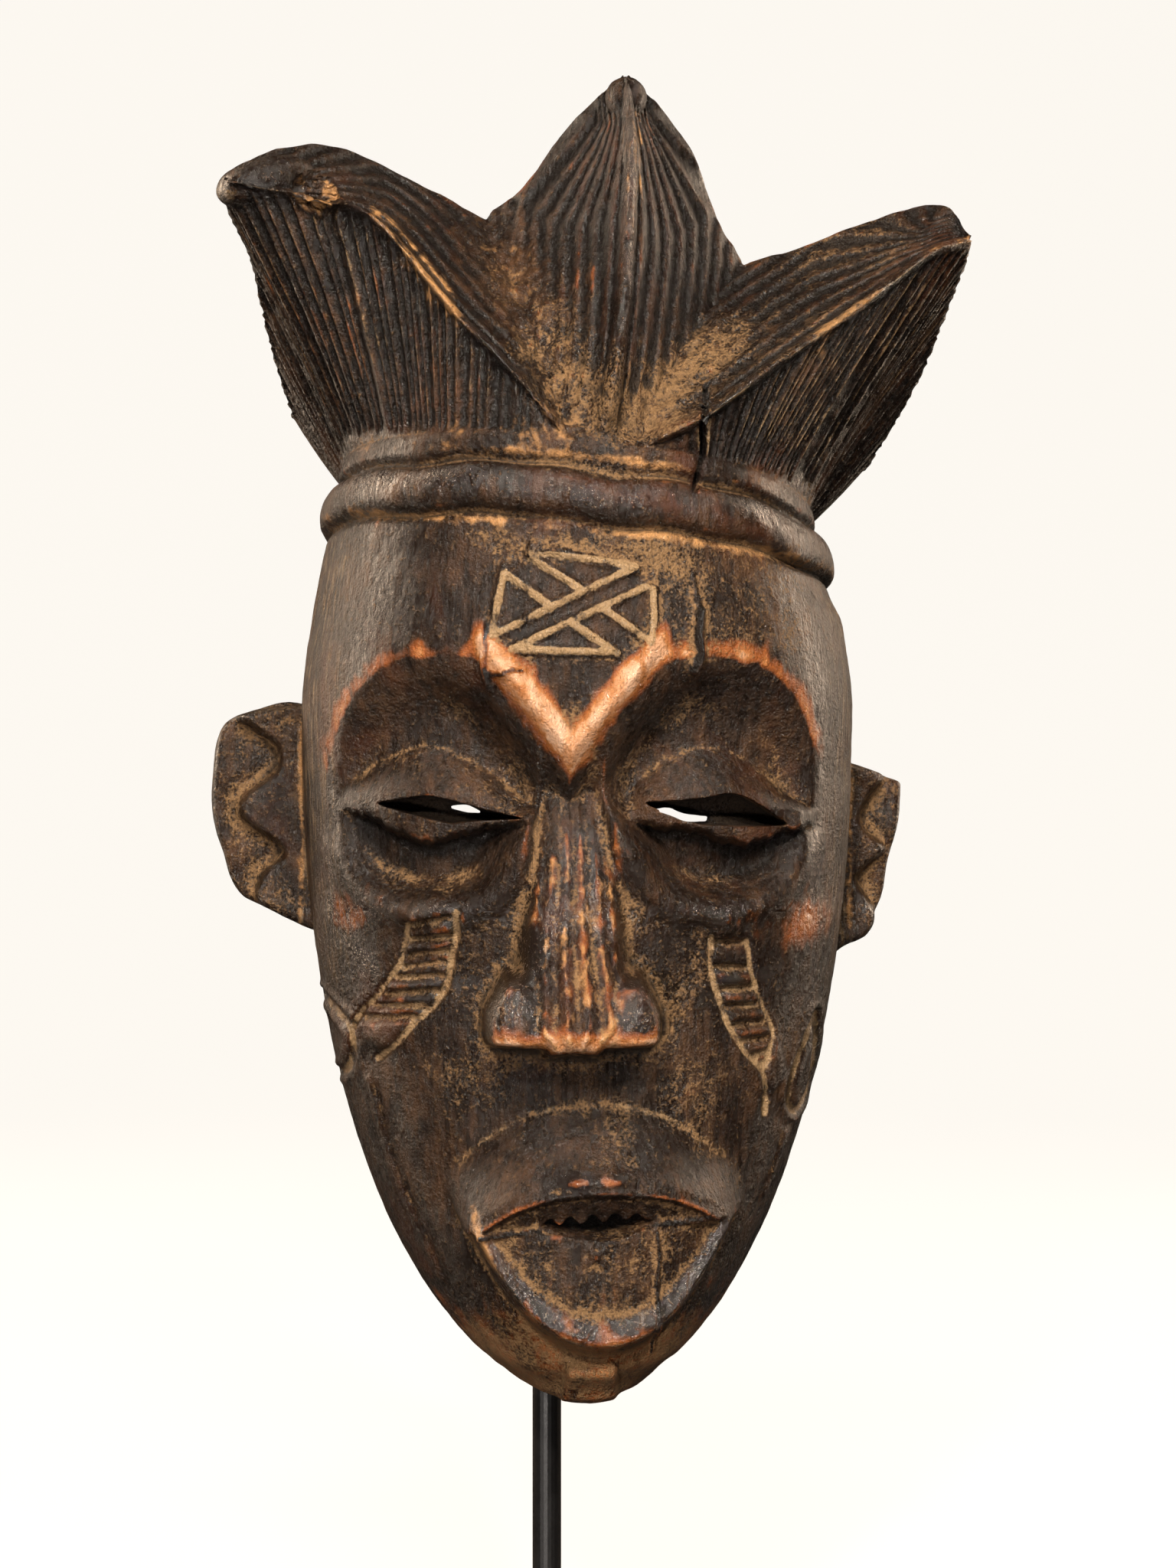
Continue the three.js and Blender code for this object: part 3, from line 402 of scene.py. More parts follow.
def ring_mesh(rings, low_rings=6, high_rings=6):
    """A closed skin over rings of points, its ends drawn in to their middles."""
    def drawn_in(ring, count):
        return [mix(ring, ring.mean(0), (k + 1) / (count + 1)) for k in range(count)]

    stack = drawn_in(rings[0], low_rings)[::-1] + list(rings) + drawn_in(rings[-1], high_rings)
    points = np.concatenate([np.concatenate(stack), [rings[0].mean(0), rings[-1].mean(0)]])
    n, m = len(rings[0]), len(stack)
    i, r = np.meshgrid(np.arange(n), np.arange(m - 1))
    a, b = (r * n + i).ravel(), (r * n + (i + 1) % n).ravel()
    quads = np.stack([a, b, b + n, a + n], -1)
    k = np.arange(n)
    low = np.stack([(k + 1) % n, k, np.full(n, n * m)], -1)
    high = np.stack([(m - 1) * n + k, (m - 1) * n + (k + 1) % n, np.full(n, n * m + 1)], -1)
    return points, [tuple(q) for q in quads.tolist()] + [tuple(t) for t in low.tolist() + high.tolist()]


def carved(name, points, faces):
    mesh = bpy.data.meshes.new(name)
    mesh.from_pydata(place(points).tolist(), [], faces)
    made = bpy.data.objects.new(name, mesh)
    bpy.context.scene.collection.objects.link(made)
    bpy.ops.object.select_all(action="DESELECT")
    made.select_set(True)
    bpy.context.view_layer.objects.active = made
    bpy.ops.object.mode_set(mode="EDIT")
    bpy.ops.mesh.select_all(action="SELECT")
    bpy.ops.mesh.remove_doubles(threshold=1e-6)
    bpy.ops.mesh.normals_make_consistent(inside=False)
    bpy.ops.object.mode_set(mode="OBJECT")
    return made


def grid_normals(grid):
    along = np.gradient(grid, axis=0)
    across = np.roll(grid, -1, 1) - np.roll(grid, 1, 1)
    normal = np.cross(across, along)
    return normal / np.maximum(np.linalg.norm(normal, axis=-1, keepdims=True), 1e-9)


FRONT_COLUMNS, SIDE_COLUMNS, BACK_COLUMNS, HEAD_ROWS = 420, 26, 40, 400
levels = np.linspace(0, COLLAR_TOP, HEAD_ROWS)[:, None]
turn = np.linspace(-math.pi / 2, math.pi / 2, FRONT_COLUMNS)[None, :]
wide = half_width(levels)
across_face = np.sign(turn) * wide * np.abs(np.sin(turn)) ** (2 / PLAN)
face_z = np.broadcast_to(levels, across_face.shape)
face_f = np.where(np.abs(np.sin(turn)) > 0.999, 0, face_front(across_face, face_z))
front_grid = np.stack([across_face, face_f, face_z], -1)
rim = mix(RIM_CHIN, RIM_BACK, ease(5, 85, levels))
share = np.linspace(0, 1, SIDE_COLUMNS + 1)[None, 1:]
right_side = np.stack([wide * (1 - 0.05 * share), -rim * share, levels + 0 * share], -1)
left_side = right_side[:, ::-1] * np.array([-1, 1, 1])
over = np.linspace(0, 1, BACK_COLUMNS + 2)[None, 1:-1, None]
back = mix(right_side[:, -1:], left_side[:, :1], over)
head_grid = np.concatenate([front_grid, right_side, back, left_side], 1)
normals = grid_normals(head_grid)
facing_front = np.zeros(head_grid.shape[:2])
facing_front[:, :FRONT_COLUMNS] = 1.0
lines = line_depth(head_grid[..., 0], head_grid[..., 2]) * facing_front
head_grid = head_grid + normals * lines[..., None]
head_grid = tipped(head_grid)
head = carved("head", *ring_mesh(head_grid))

# The crown
# A fluted wall flares from the collar to three keels, and above it each lobe has fluted faces that
# run up to its tip. The left tip is a smooth beak with raw wood where a piece broke off behind it.
LEFT_ROOT, CROWN_ROOT, RIGHT_ROOT = [-6, 65.2, 246.5], [2.8, 65.6, 246], [12, 65.2, 244.5]
LEFT_KEEL = [LEFT_ROOT, [-19, 66.5, 262], [-36, 63, 280], [-54, 58, 302], [-70, 51, 309], [-94, 42, 315]]
LEFT_EDGE = [LEFT_ROOT, [-9, 56, 261], [-15, 42, 285], [-23, 22, 308], [-46, 22, 321.5], [-66, 26, 329],
             [-84, 34, 325], [-94, 42, 315]]
MID_KEEL = [CROWN_ROOT, [6.5, 66, 266], [9, 62, 290], [11, 55, 322], [10.5, 40, 345]]
MID_LEFT = [LEFT_ROOT, [-11, 55, 262], [-19, 41, 286], [-26, 21, 309], [-15, 23, 320], [-5.5, 25, 333],
            [3, 30, 341], [10.5, 40, 345]]
MID_RIGHT = [RIGHT_ROOT, [18, 55, 256], [31, 39, 277], [44, 21, 297], [37, 23, 311], [30, 25, 328],
             [20, 30, 340], [10.5, 40, 345]]
RIGHT_KEEL = [RIGHT_ROOT, [28, 66, 252], [50, 62.5, 268], [71, 58, 283], [89, 51, 297], [101.5, 42, 302]]
RIGHT_EDGE = [RIGHT_ROOT, [16, 56, 258], [27, 40, 279], [41, 22, 298], [60, 22, 304.5], [80, 25, 312],
              [96, 32, 314], [101.5, 42, 302]]
LEFT_REAR = [[-89, 10, 301], [-85.5, -12, 284], [-79.5, -36, 264]]
RIGHT_REAR = [[101, 14, 289], [96, -10, 271], [86, -36, 250]]
LEFT_ANGLES = [4, 16, 32, 45, 56, 76, 90, 104, 122]
RIGHT_ANGLES = [9, 24, 36, 45, 56, 76, 90, 104, 122]
FLUTE_WIDE, FLUTE_DEEP, PER_FLUTE, WALL_ROWS = 4.2, 2.6, 8, 96
LEAF_WIDE, LEAF_DEEP, LEAF_COLUMNS, LEAF_ROWS, LEAF_MEET = 3.8, 2.1, 72, 110, 42.0
KEEL_HIGH, KEEL_HALF = 3.4, 3.4
KEEL_BREAKS = [(-32, 276, 5), (-15, 256, 4), (7.2, 269, 4), (10, 296, 2.5), (57, 272, 4), (81, 292, 3)]
VALLEYS = [[(-3, 250), (-14, 280), (-24, 304)], [(9, 248), (24, 262), (36, 278)]]


def channel(at):
    """Depth of a run of scooped channels with sharp ridges between them, from 0 to 1."""
    u = at - np.floor(at)
    return (1 - (2 * u - 1) ** 2) ** 0.8


def crumbled(x, z):
    """How far the wood of the valleys between the lobes is broken up, from 0 to 1."""
    left, right = [path_distance(x, z, valley) for valley in VALLEYS]
    return np.maximum(hump(left, 10), 0.8 * hump(right, 8)) * ease(243, 250, z)


def keel_left(x, z):
    """How much of a keel's height is still there, from 0 to 1: pieces of it have broken off."""
    left = np.ones(x.shape)
    for break_x, break_z, wide in KEEL_BREAKS:
        left = left * (1 - 0.8 * hump(np.hypot(x - break_x, z - break_z), wide))
    return left


def collar_point(degrees, z, side):
    a = np.radians(np.minimum(degrees, 90))
    w, reach = half_width(z) - 0.6, front_reach(z) - 0.6
    behind = np.clip(degrees - 90, 0, 90) * 1.15
    x = side * w * np.abs(np.sin(a)) ** (2 / PLAN)
    f = reach * np.clip(np.cos(a), 0, 1) ** (2 / PLAN) - behind
    return tipped(np.stack([x, f, z + 0 * x], -1))


def crown_wall():
    heads, feet, cuts = [], [], []
    halves = (-1, LEFT_KEEL + LEFT_REAR, LEFT_ANGLES), (1, RIGHT_KEEL + RIGHT_REAR, RIGHT_ANGLES)
    for side, crest, angles in halves:
        top, around = smooth_path(crest, 600), smooth_path([[a] for a in angles], 600)[:, 0]
        run = np.concatenate([[0], np.cumsum(np.linalg.norm(np.diff(top, axis=0), axis=1))])
        flutes = round(run[-1] / FLUTE_WIDE)
        even = np.linspace(0, run[-1], flutes * PER_FLUTE + 1)
        top = np.stack([np.interp(even, run, top[:, k]) for k in range(3)], -1)
        foot = collar_point(np.clip(np.interp(even, run, around), 0, 122), COLLAR_TOP - 4, side)
        at = even / FLUTE_WIDE
        wander = 0.16 * np.sin(at * 1.7 + side) + 0.1 * np.sin(at * 3.1)
        cut = channel(at + wander) * (0.85 + 0.25 * np.sin(at * 2.3))
        order = slice(None, None, side)
        heads.append(top[order])
        feet.append(foot[order])
        cuts.append(cut[order])
    head_line, foot_line, cut = np.concatenate(heads), np.concatenate(feet), np.concatenate(cuts)
    heights = np.concatenate([[-0.2], np.linspace(0, 1, WALL_ROWS)])
    rings = []
    tall = head_line[:, 2] - foot_line[:, 2]
    for t in heights:
        up = max(t, 0)
        flare = up ** mix(0.85, 1.12, ease(-20, 15, head_line[:, 1]))
        x, f = mix(foot_line[:, 0], head_line[:, 0], flare), mix(foot_line[:, 1], head_line[:, 1], flare)
        z = foot_line[:, 2] - 8 if t < 0 else mix(foot_line[:, 2], head_line[:, 2], up)
        fade = ease(0, 0.1, up) * ease(1.01, 0.94, up) * np.clip(tall / 22, 0, 1)
        deep = 3.0 if t < 0 else cut * fade * FLUTE_DEEP * mix(0.6, 1, up)
        away = np.hypot(x, f + 20)
        rings.append(np.stack([x - deep * x / away, f - deep * (f + 20) / away, z], -1))
    crest = rings[-1]
    for s in np.linspace(0, 1, 27)[1:-1]:
        rings.append(mix(crest, crest.mean(0), s) - np.array([0, 0, 9 * ease(0, 0.25, s)]))
    return ring_mesh(rings, 3, 1)


def crown_lobe(rails, fluted):
    rows = LEAF_ROWS
    curves = [smooth_path(rail, rows + 1) for rail in rails]
    v = np.linspace(0.02, 0.985, rows + 1)
    even = np.linspace(0, 1, rows + 1)
    at = [np.stack([np.interp(v, even, curve[:, k]) for k in range(3)], -1) for curve in curves]
    keel, tip_point = at[1], at[1][-1]
    keel_path = keel[::4, [0, 2]]
    columns = []
    for k in range(len(at) - 1):
        count = LEAF_COLUMNS if fluted[k] else 4
        for i in range(1 if k else 0, count + 1):
            u = i / count
            point = mix(at[k], at[k + 1], u)
            across = np.linalg.norm(point - keel, axis=-1)
            if fluted[k]:
                pitch = LEAF_WIDE * np.clip(np.linalg.norm(point - tip_point, axis=-1) / LEAF_MEET, 0.3, 1)
                away = path_distance(point[:, 0], point[:, 2], keel_path)
                broken = crumbled(point[:, 0], point[:, 2])
                cut = LEAF_DEEP * channel(away / pitch + 0.08 * np.sin(9 * v)) * (1 - 0.75 * broken)
                cut = cut * ease(KEEL_HALF - 1, KEEL_HALF + 1, across) * ease(246, 258, point[:, 2])
                cut = cut * ease(1, 0.93, v)
                sunk = cut + 3.4 * math.sin(math.pi * u) * v
                chips = (0.8 + 0.9 * rough(point + 40, [5, 5, 5], 3)) * keel_left(point[:, 0], point[:, 2])
                chips = KEEL_HIGH * chips * ease(KEEL_HALF + 1, KEEL_HALF - 1, across)
                sunk = sunk - chips * ease(0.02, 0.12, v)
            else:
                on_keel = 1 if i == count else 0
                sunk = -KEEL_HIGH * 0.8 * ease(0.02, 0.12, v) * on_keel * keel_left(point[:, 0], point[:, 2])
            sunk = np.where(np.arange(rows + 1) == 0, 2.5, sunk)
            columns.append(point - np.stack([0 * v, sunk, 0 * v], -1))
    front = np.stack(columns, 1)
    outline = np.concatenate([front[0, :-1], front[:-1, -1], front[-1, :0:-1], front[:0:-1, 0]])
    pushed = mix(-34, 12, ease(250, 318, outline[:, 2]))
    rear = np.stack([outline[:, 0] * 0.97, pushed, outline[:, 2] - 1.5], -1)
    m, n = front.shape[:2]
    points = [front.reshape(-1, 3)]
    r, i = np.meshgrid(np.arange(m - 1), np.arange(n - 1), indexing="ij")
    a = (r * n + i).ravel()
    faces = [tuple(q) for q in np.stack([a, a + 1, a + 1 + n, a + n], -1).tolist()]
    loop = list(range(n - 1)) + [j * n + n - 1 for j in range(m - 1)]
    loop += [(m - 1) * n + i for i in range(n - 1, 0, -1)] + [j * n for j in range(m - 1, 0, -1)]
    count, start, last = len(loop), m * n, loop
    steps = [mix(outline, rear, s) for s in (0.34, 0.67, 1.0)]
    steps += [mix(rear, rear.mean(0), s) for s in np.linspace(0, 1, 14)[1:-1]]
    for ring in steps:
        points.append(ring)
        here = list(range(start, start + count))
        faces += [(last[i], here[i], here[(i + 1) % count], last[(i + 1) % count]) for i in range(count)]
        last, start = here, start + count
    points.append(rear.mean(0)[None])
    faces += [(last[(i + 1) % count], last[i], start) for i in range(count)]
    return np.concatenate(points), faces


def buried(keel):
    return [[x * 0.97, f - 8, z - 6] for x, f, z in keel]


wall = carved("wall", *crown_wall())
left_lobe = carved("left_lobe", *crown_lobe([buried(LEFT_KEEL), LEFT_KEEL, LEFT_EDGE], [False, True]))
middle_lobe = carved("middle_lobe", *crown_lobe([MID_LEFT, MID_KEEL, MID_RIGHT], [True, True]))
right_lobe = carved("right_lobe", *crown_lobe([buried(RIGHT_KEEL), RIGHT_KEEL, RIGHT_EDGE], [False, True]))

around_beak, along_beak = np.linspace(0, 2 * math.pi, 49)[:-1], np.linspace(0.02, math.pi - 0.02, 40)
beak_rings = [np.stack([np.full(48, -13 * math.cos(p)), 9 * math.sin(p) * np.cos(around_beak),
                        6.5 * math.sin(p) * np.sin(around_beak)], -1) for p in along_beak]
BEAK_TILT = 0.25
beak_points, beak_faces = ring_mesh(beak_rings, 1, 1)
lean, lift = math.cos(BEAK_TILT), math.sin(BEAK_TILT)
tilt = np.array([[lean, 0, -lift], [0, 1, 0], [lift, 0, lean]])
tip = carved("tip", beak_points * np.array([0.42, 0.62, 0.85]) + np.array([10.9, 36.5, 339.6]), beak_faces)
beak = carved("beak", beak_points @ tilt.T + np.array([-83, 38, 316]), beak_faces)

# Ears
# Each ear is a flat plate of the same wood, with a thicker part against the head that ends in a
# zigzag. The left one stands higher and reaches further out.
EAR_X, EAR_F, EAR_THICK, EAR_STEP = 73.0, -3.0, 10.0, 4.6
EARS = [
    dict(side=-1,
         outline=[(-68, 180), (-79, 182.6), (-88.7, 180.2), (-95.4, 177.5), (-98.5, 172.3), (-99.8, 162.3),
                  (-100, 154), (-98.9, 147), (-96.8, 141), (-94.9, 134.5), (-92.2, 130), (-89.5, 128),
                  (-84.5, 126), (-78.2, 122.7), (-66, 118)],
         zigzag=[(-60, 182.5), (-91, 179.5), (-88.5, 175.5), (-82.5, 171), (-81, 166.5), (-82.5, 163),
                 (-90, 157.5), (-92, 154), (-91, 150.5), (-85, 146), (-81, 143.5), (-80, 141), (-83, 138),
                 (-86, 135.5), (-87, 129), (-80, 122), (-60, 118)]),
    dict(side=1,
         outline=[(66, 165), (74.4, 166.4), (82.4, 163.8), (86.5, 162), (90.2, 160.6), (90.6, 158),
                  (90.2, 151), (88.9, 145), (86.9, 138), (85.6, 130), (83.5, 124.5), (80.7, 118.6),
                  (73.6, 115), (64, 108)],
         zigzag=[(58, 168), (82, 164.5), (84.5, 161.5), (80, 155), (78.5, 151), (80, 147), (84.4, 143.5),
                 (84.6, 141), (79, 136.5), (77.5, 133.5), (80, 129), (82.5, 122), (76, 114), (58, 106)]),
]


def inside_outline(x, z, outline):
    inside = np.zeros(x.shape, bool)
    for (ax, az), (bx, bz) in zip(outline, outline[1:] + outline[:1]):
        crosses = (az > z) != (bz > z)
        inside ^= crosses & (x < (bx - ax) * (z - az) / (bz - az + 1e-9) + ax)
    return inside


def ear_mesh(ear):
    outer = smooth_path(ear["outline"], 150)
    root_x = ear["side"] * (EAR_X - 9)
    inner = np.stack([np.full(150, root_x), outer[:, 1]], -1)
    inner[:, 1] = np.clip(inner[:, 1], ear["outline"][-1][1] + 3, ear["outline"][0][1] - 1)
    across = np.linspace(0, 1, 46)
    sheet = inner[None] + (outer - inner)[None] * across[:, None, None]
    x, z = sheet[..., 0], sheet[..., 1]
    zigzag = [tuple(p) for p in smooth_path(ear["zigzag"], 64)]
    deep = np.where(inside_outline(x, z, zigzag), 1, -1) * path_distance(x, z, zigzag)
    step = EAR_STEP * ease(-0.8, 0.9, deep)
    from_rim = path_distance(x, z, outer[::4])
    dish = 0.8 * ease(6, 2, from_rim) - 1.0 * hump(deep + 2.2, 2.4)
    round_off = 1.6 * (1 - np.clip(from_rim / 2.2, 0, 1)) ** 2
    front = EAR_F + step + dish - round_off
    back = EAR_F - EAR_THICK + 2.0 * (1 - np.clip(from_rim / 3, 0, 1)) ** 2
    top, under = np.stack([x, front, z], -1), np.stack([x, back, z], -1)
    m, n = x.shape
    points = np.concatenate([top.reshape(-1, 3), under.reshape(-1, 3)])
    r, i = np.meshgrid(np.arange(m - 1), np.arange(n - 1), indexing="ij")
    a = (r * n + i).ravel()
    faces = np.stack([a, a + 1, a + 1 + n, a + n], -1).tolist()
    faces += [[d + m * n, c + m * n, b + m * n, e + m * n] for e, b, c, d in faces]
    edge = list(range(n)) + [j * n + n - 1 for j in range(1, m)]
    edge += [(m - 1) * n + i for i in range(n - 2, -1, -1)] + [j * n for j in range(m - 2, 0, -1)]
    faces += [[p, p + m * n, q + m * n, q] for p, q in zip(edge, edge[1:] + edge[:1])]
    return points, [tuple(f) for f in faces]


ears = [carved("ear", *ear_mesh(ear)) for ear in EARS]

# The hollow and the openings
# The back is scooped out to a shell, about a centimetre thick at its sides, and slits through it open
# the eyes and the mouth.
HOLLOW_SIDE, HOLLOW_FRONT, HOLLOW_BOTTOM, HOLLOW_TOP = 11.0, 17.0, 16.0, 226.0
HOLLOW_MOUTH, HOLLOW_PLAN, HOLLOW_ARC, HOLLOW_WALL = 60.0, 2.3, 90, 21
EYE_SLITS = [
    dict(top=[(-58, 155.6), (-50, 157), (-42, 157.8), (-33, 155.9), (-24, 153.4), (-13.5, 151.1)],
         bottom=[(-58, 155.2), (-47, 152.0), (-37, 149.6), (-34, 149.3), (-30, 149.9), (-20, 150.5),
                 (-13.5, 150.7)],
         hole_top=[(-35, 154.4), (-31, 154.6), (-27.5, 153)],
         hole_bottom=[(-35, 153.8), (-31, 152.8), (-27.5, 152.6)]),
    dict(top=[(11, 155.7), (14, 156.1), (27.4, 157), (37.5, 158.6), (45.3, 155.6), (55.5, 149.2)],
         bottom=[(11, 155.3), (19, 151.8), (27.4, 149.1), (34.7, 148.6), (45, 148.3), (55.5, 148.6)],
         hole_top=[(17.5, 153.6), (21, 153.9), (25, 152.4), (31.5, 151.6)],
         hole_bottom=[(17.5, 153.0), (21, 151.8), (25, 150.4), (31.5, 150.4)]),
]
MOUTH_SLIT = dict(top=[(-14, 48.0), (-11.4, 50.0), (-8.8, 48.2), (-6, 51.0), (-3, 48.6), (0, 51.6),
                       (3.2, 48.9), (6.2, 51.8), (9.2, 49.2), (12.2, 51.2), (14.6, 49.4), (17.5, 49.2)],
                  bottom=[(-14, 47.8), (-6, 45.5), (3, 44.3), (10, 45.4), (17.5, 48.6)])


def hollow_mesh():
    rings = []
    for share in np.linspace(0, 1, 110):
        z = mix(HOLLOW_BOTTOM, HOLLOW_TOP, share)
        close = math.sqrt(max(0.002, 1 - max(0, (share - 0.8) / 0.2) ** 2.2))
        wide_open = math.sqrt(max(0.01, 1 - max(0, (0.14 - share) / 0.14) ** 2))
        w = (half_width(min(z, 215.0)) - HOLLOW_SIDE) * close * wide_open
        reach = (profile(FRONT, np.array(z)) - HOLLOW_FRONT) * mix(0.55, 1, close * wide_open)
        a = np.linspace(-math.pi / 2, math.pi / 2, HOLLOW_ARC)
        x = np.sign(a) * w * np.abs(np.sin(a)) ** (2 / HOLLOW_PLAN)
        f = reach * np.clip(np.cos(a), 0, 1) ** (2 / HOLLOW_PLAN)
        straight = np.linspace(0, 1, HOLLOW_WALL + 1)[1:]
        left = np.stack([0 * straight - w, -HOLLOW_MOUTH * straight[::-1], 0 * straight + z], -1)
        right = np.stack([0 * straight + w, -HOLLOW_MOUTH * straight, 0 * straight + z], -1)
        ring = np.concatenate([left, np.stack([x, f, 0 * a + z], -1), right])
        scoops = 1.6 * rough(ring, [16, 16, 24], 2)
        inward = np.clip(ring[:, 1], 0, 99) / max(reach, 1)
        out = np.stack([ring[:, 0] / max(w, 1), inward, 0 * ring[:, 0]], -1)
        rings.append(ring + out * scoops[:, None])
    return ring_mesh(rings, 3, 6)


def slit_mesh(top, bottom, front, back, back_share):
    """A wedge-shaped cutter, its outline given as the slit's upper and lower lips."""
    upper, lower = smooth_path(top, 40), smooth_path(bottom, 40)
    outline = np.concatenate([upper, lower[-2:0:-1]])
    centre = outline.mean(0)
    rings = []
    for step in np.linspace(0, 1, 14):
        ring = mix(centre, outline, mix(back_share, 1, step))
        rings.append(np.stack([ring[:, 0], mix(back, front, step) + 0 * ring[:, 0], ring[:, 1]], -1))
    return ring_mesh(rings, 1, 1)


def lid_depth(top, bottom, below):
    """How far back a slit reaches at each point of its outline: a little below the lid's skin."""
    outline = np.concatenate([smooth_path(top, 40), smooth_path(bottom, 40)[-2:0:-1]])
    half = (top[-1][0] - top[0][0]) / 2
    from_middle = np.abs(outline[:, 0] - top[0][0] - half) / half
    skin = face_front(outline[:, 0], np.full(len(outline), SLIT_LINE + 4.0))
    return skin - below * (1 - 0.62 * from_middle ** 2)


cutters = [carved("hollow", *hollow_mesh())]
for slit in EYE_SLITS:
    top, bottom = slit["top"], slit["bottom"]
    cutters.append(carved("slit", *slit_mesh(top, bottom, 90, lid_depth(top, bottom, 8.5), 0.8)))
    cutters.append(carved("hole", *slit_mesh(slit["hole_top"], slit["hole_bottom"], 90, 8, 1.0)))
mouth_points, mouth_faces = slit_mesh(MOUTH_SLIT["top"], MOUTH_SLIT["bottom"], 90, 30, 0.8)
mouth_points[:, 2] += 0.32 * np.clip(66 - mouth_points[:, 1], 0, 40)
cutters.append(carved("mouth", mouth_points, mouth_faces))

# One piece of wood
# The whole mask is carved from one block, so its parts are joined into one skin. The hollow and the
# slits are cut, and the edges are softened by handling.


def combine(base, other, how):
    bpy.ops.object.select_all(action="DESELECT")
    base.select_set(True)
    bpy.context.view_layer.objects.active = base
    cut = base.modifiers.new("combine", "BOOLEAN")
    cut.operation, cut.solver, cut.object = how, "MANIFOLD", other
    bpy.ops.object.modifier_apply(modifier=cut.name)
    bpy.data.objects.remove(other)


for other in (wall, left_lobe, middle_lobe, right_lobe, beak, tip, *ears):
    combine(head, other, "UNION")
for other in cutters:
    combine(head, other, "DIFFERENCE")
mask = head
mask.name = mask.data.name = "carved_mask"


def arrays(body):
    """The mesh's points in the mask's own millimetres, its edges and its normals."""
    data = body.data
    points = np.empty(len(data.vertices) * 3)
    data.vertices.foreach_get("co", points)
    edges = np.empty(len(data.edges) * 2, int)
    data.edges.foreach_get("vertices", edges)
    normals = np.empty(len(data.vertices) * 3)
    data.vertex_normals.foreach_get("vector", normals)
    normals = normals.reshape(-1, 3) * np.array([1, -1, 1])
    return unplace(points.reshape(-1, 3)), edges.reshape(-1, 2), normals


def averaged(values, edges, rounds):
    """Each vertex's value drawn towards its neighbours', several times over."""
    count = np.bincount(edges.ravel(), minlength=len(values)).astype(float)[:, None]
    flat = values.reshape(len(values), -1).copy()
    for _ in range(rounds):
        total = np.empty_like(flat)
        for k in range(flat.shape[1]):
            total[:, k] = (np.bincount(edges[:, 0], flat[edges[:, 1], k], len(flat))
                           + np.bincount(edges[:, 1], flat[edges[:, 0], k], len(flat)))
        flat = 0.5 * flat + 0.5 * total / np.maximum(count, 1)
    return flat.reshape(values.shape)


HANDLED, ROOTS_HANDLED = 2, 26  # rounds of softening, everywhere and where the keels' roots meet
ROOTS_AT, ROOTS_WIDE = (3, 66, 245), 13
points, edges, normals = arrays(mask)
softened = averaged(points, edges, HANDLED)
at_roots = hump(np.linalg.norm(points - np.array(ROOTS_AT), axis=1), ROOTS_WIDE)[:, None]
softened = mix(softened, averaged(points, edges, ROOTS_HANDLED), at_roots)
worn_skin = 0.34 * rough(points, [8, 8, 11], 4) + 0.16 * rough(points + 31, [2, 2, 3], 2)
worn_skin += 0.14 * rough(points + 57, [1.8, 1.8, 1.8], 2) * ease(243, 252, points[:, 2] + 0.1 * points[:, 0])


def bitten(x, f, z):
    """Where a piece broke off the left lobe beside its beak, from 0 to 1."""
    tilted = z - 312 + 0.5 * (x + 70)
    ragged = 0.35 * rough(np.stack([x, f, z], -1) + 3, [5, 5, 5], 2)
    return ease(1.15, 0.85, np.hypot((x + 69.5) / 6.5, tilted / 7.0) + ragged) * ease(16, 26, f)


worn_skin -= bitten(*points.T) * (0.9 + 1.5 * np.abs(rough(points + 5, [3, 3, 4], 2)))
worn_skin += (1.9 * crumbled(points[:, 0], points[:, 2]) * rough(points + 9, [4, 4, 4], 3)
              * ease(5, 20, points[:, 1]))
CROWN_CRACK = [(30, 262), (28.4, 252), (28.8, 244), (26.4, 234.5)]
split = ease(1.0, 0.3, path_distance(points[:, 0], points[:, 2], CROWN_CRACK)) * ease(30, 40, points[:, 1])
worn_skin -= 2.6 * split
worn_skin *= mix(0.35, 1.0, ease(-0.1, 0.15, normals[:, 1]) * ease(-14, 2, points[:, 1]))
softened += normals * worn_skin[:, None]
mask.data.vertices.foreach_set("co", place(softened).ravel())
mask.data.update()
TRIANGLES, CRUMB = 190000, 100  # the skin's triangles, and the fewest points of a piece that stays
mask.data.calc_loop_triangles()
thin = mask.modifiers.new("thin", "DECIMATE")
thin.ratio = TRIANGLES / len(mask.data.loop_triangles)
thin.use_collapse_triangulate = True
bpy.context.view_layer.objects.active = mask
bpy.ops.object.modifier_apply(modifier=thin.name)

# The thinning leaves a few slivers and crumbs beside the closed skin, which are taken off again.
whole = bmesh.new()
whole.from_mesh(mask.data)
slivers = [face for face in whole.faces if any(len(edge.link_faces) == 1 for edge in face.edges)]
bmesh.ops.delete(whole, geom=slivers, context="FACES")
left = set(whole.verts)
while left:
    island = [left.pop()]
    for point in island:
        beside = {edge.other_vert(point) for edge in point.link_edges} & left
        left -= beside
        island.extend(beside)
    if len(island) < CRUMB:
        bmesh.ops.delete(whole, geom=island, context="VERTS")
whole.to_mesh(mask.data)
whole.free()
mask.data.shade_smooth()

# Wear, dust, bare wood and painted shade
# What handling and age did to the surface of the wood, and the shade and sheen painted onto it, kept with
# the mesh as seven layers: 1 where it is strongest, 0 where there is none of it.
points, edges, normals = arrays(mask)
near, wide = averaged(points, edges, 3), averaged(points, edges, 14)
sharp = ((points - near) * normals).sum(-1)
broad = ((points - wide) * normals).sum(-1)
x, f, z = points.T


def keep(name, values):
    layer = mask.data.attributes.new(name, "FLOAT", "POINT")
    layer.data.foreach_set("value", np.clip(values, 0, 1).astype(np.float32))


def from_line(path):
    return path_distance(x, z, path)


def highest(*values):
    return np.maximum.reduce(values)


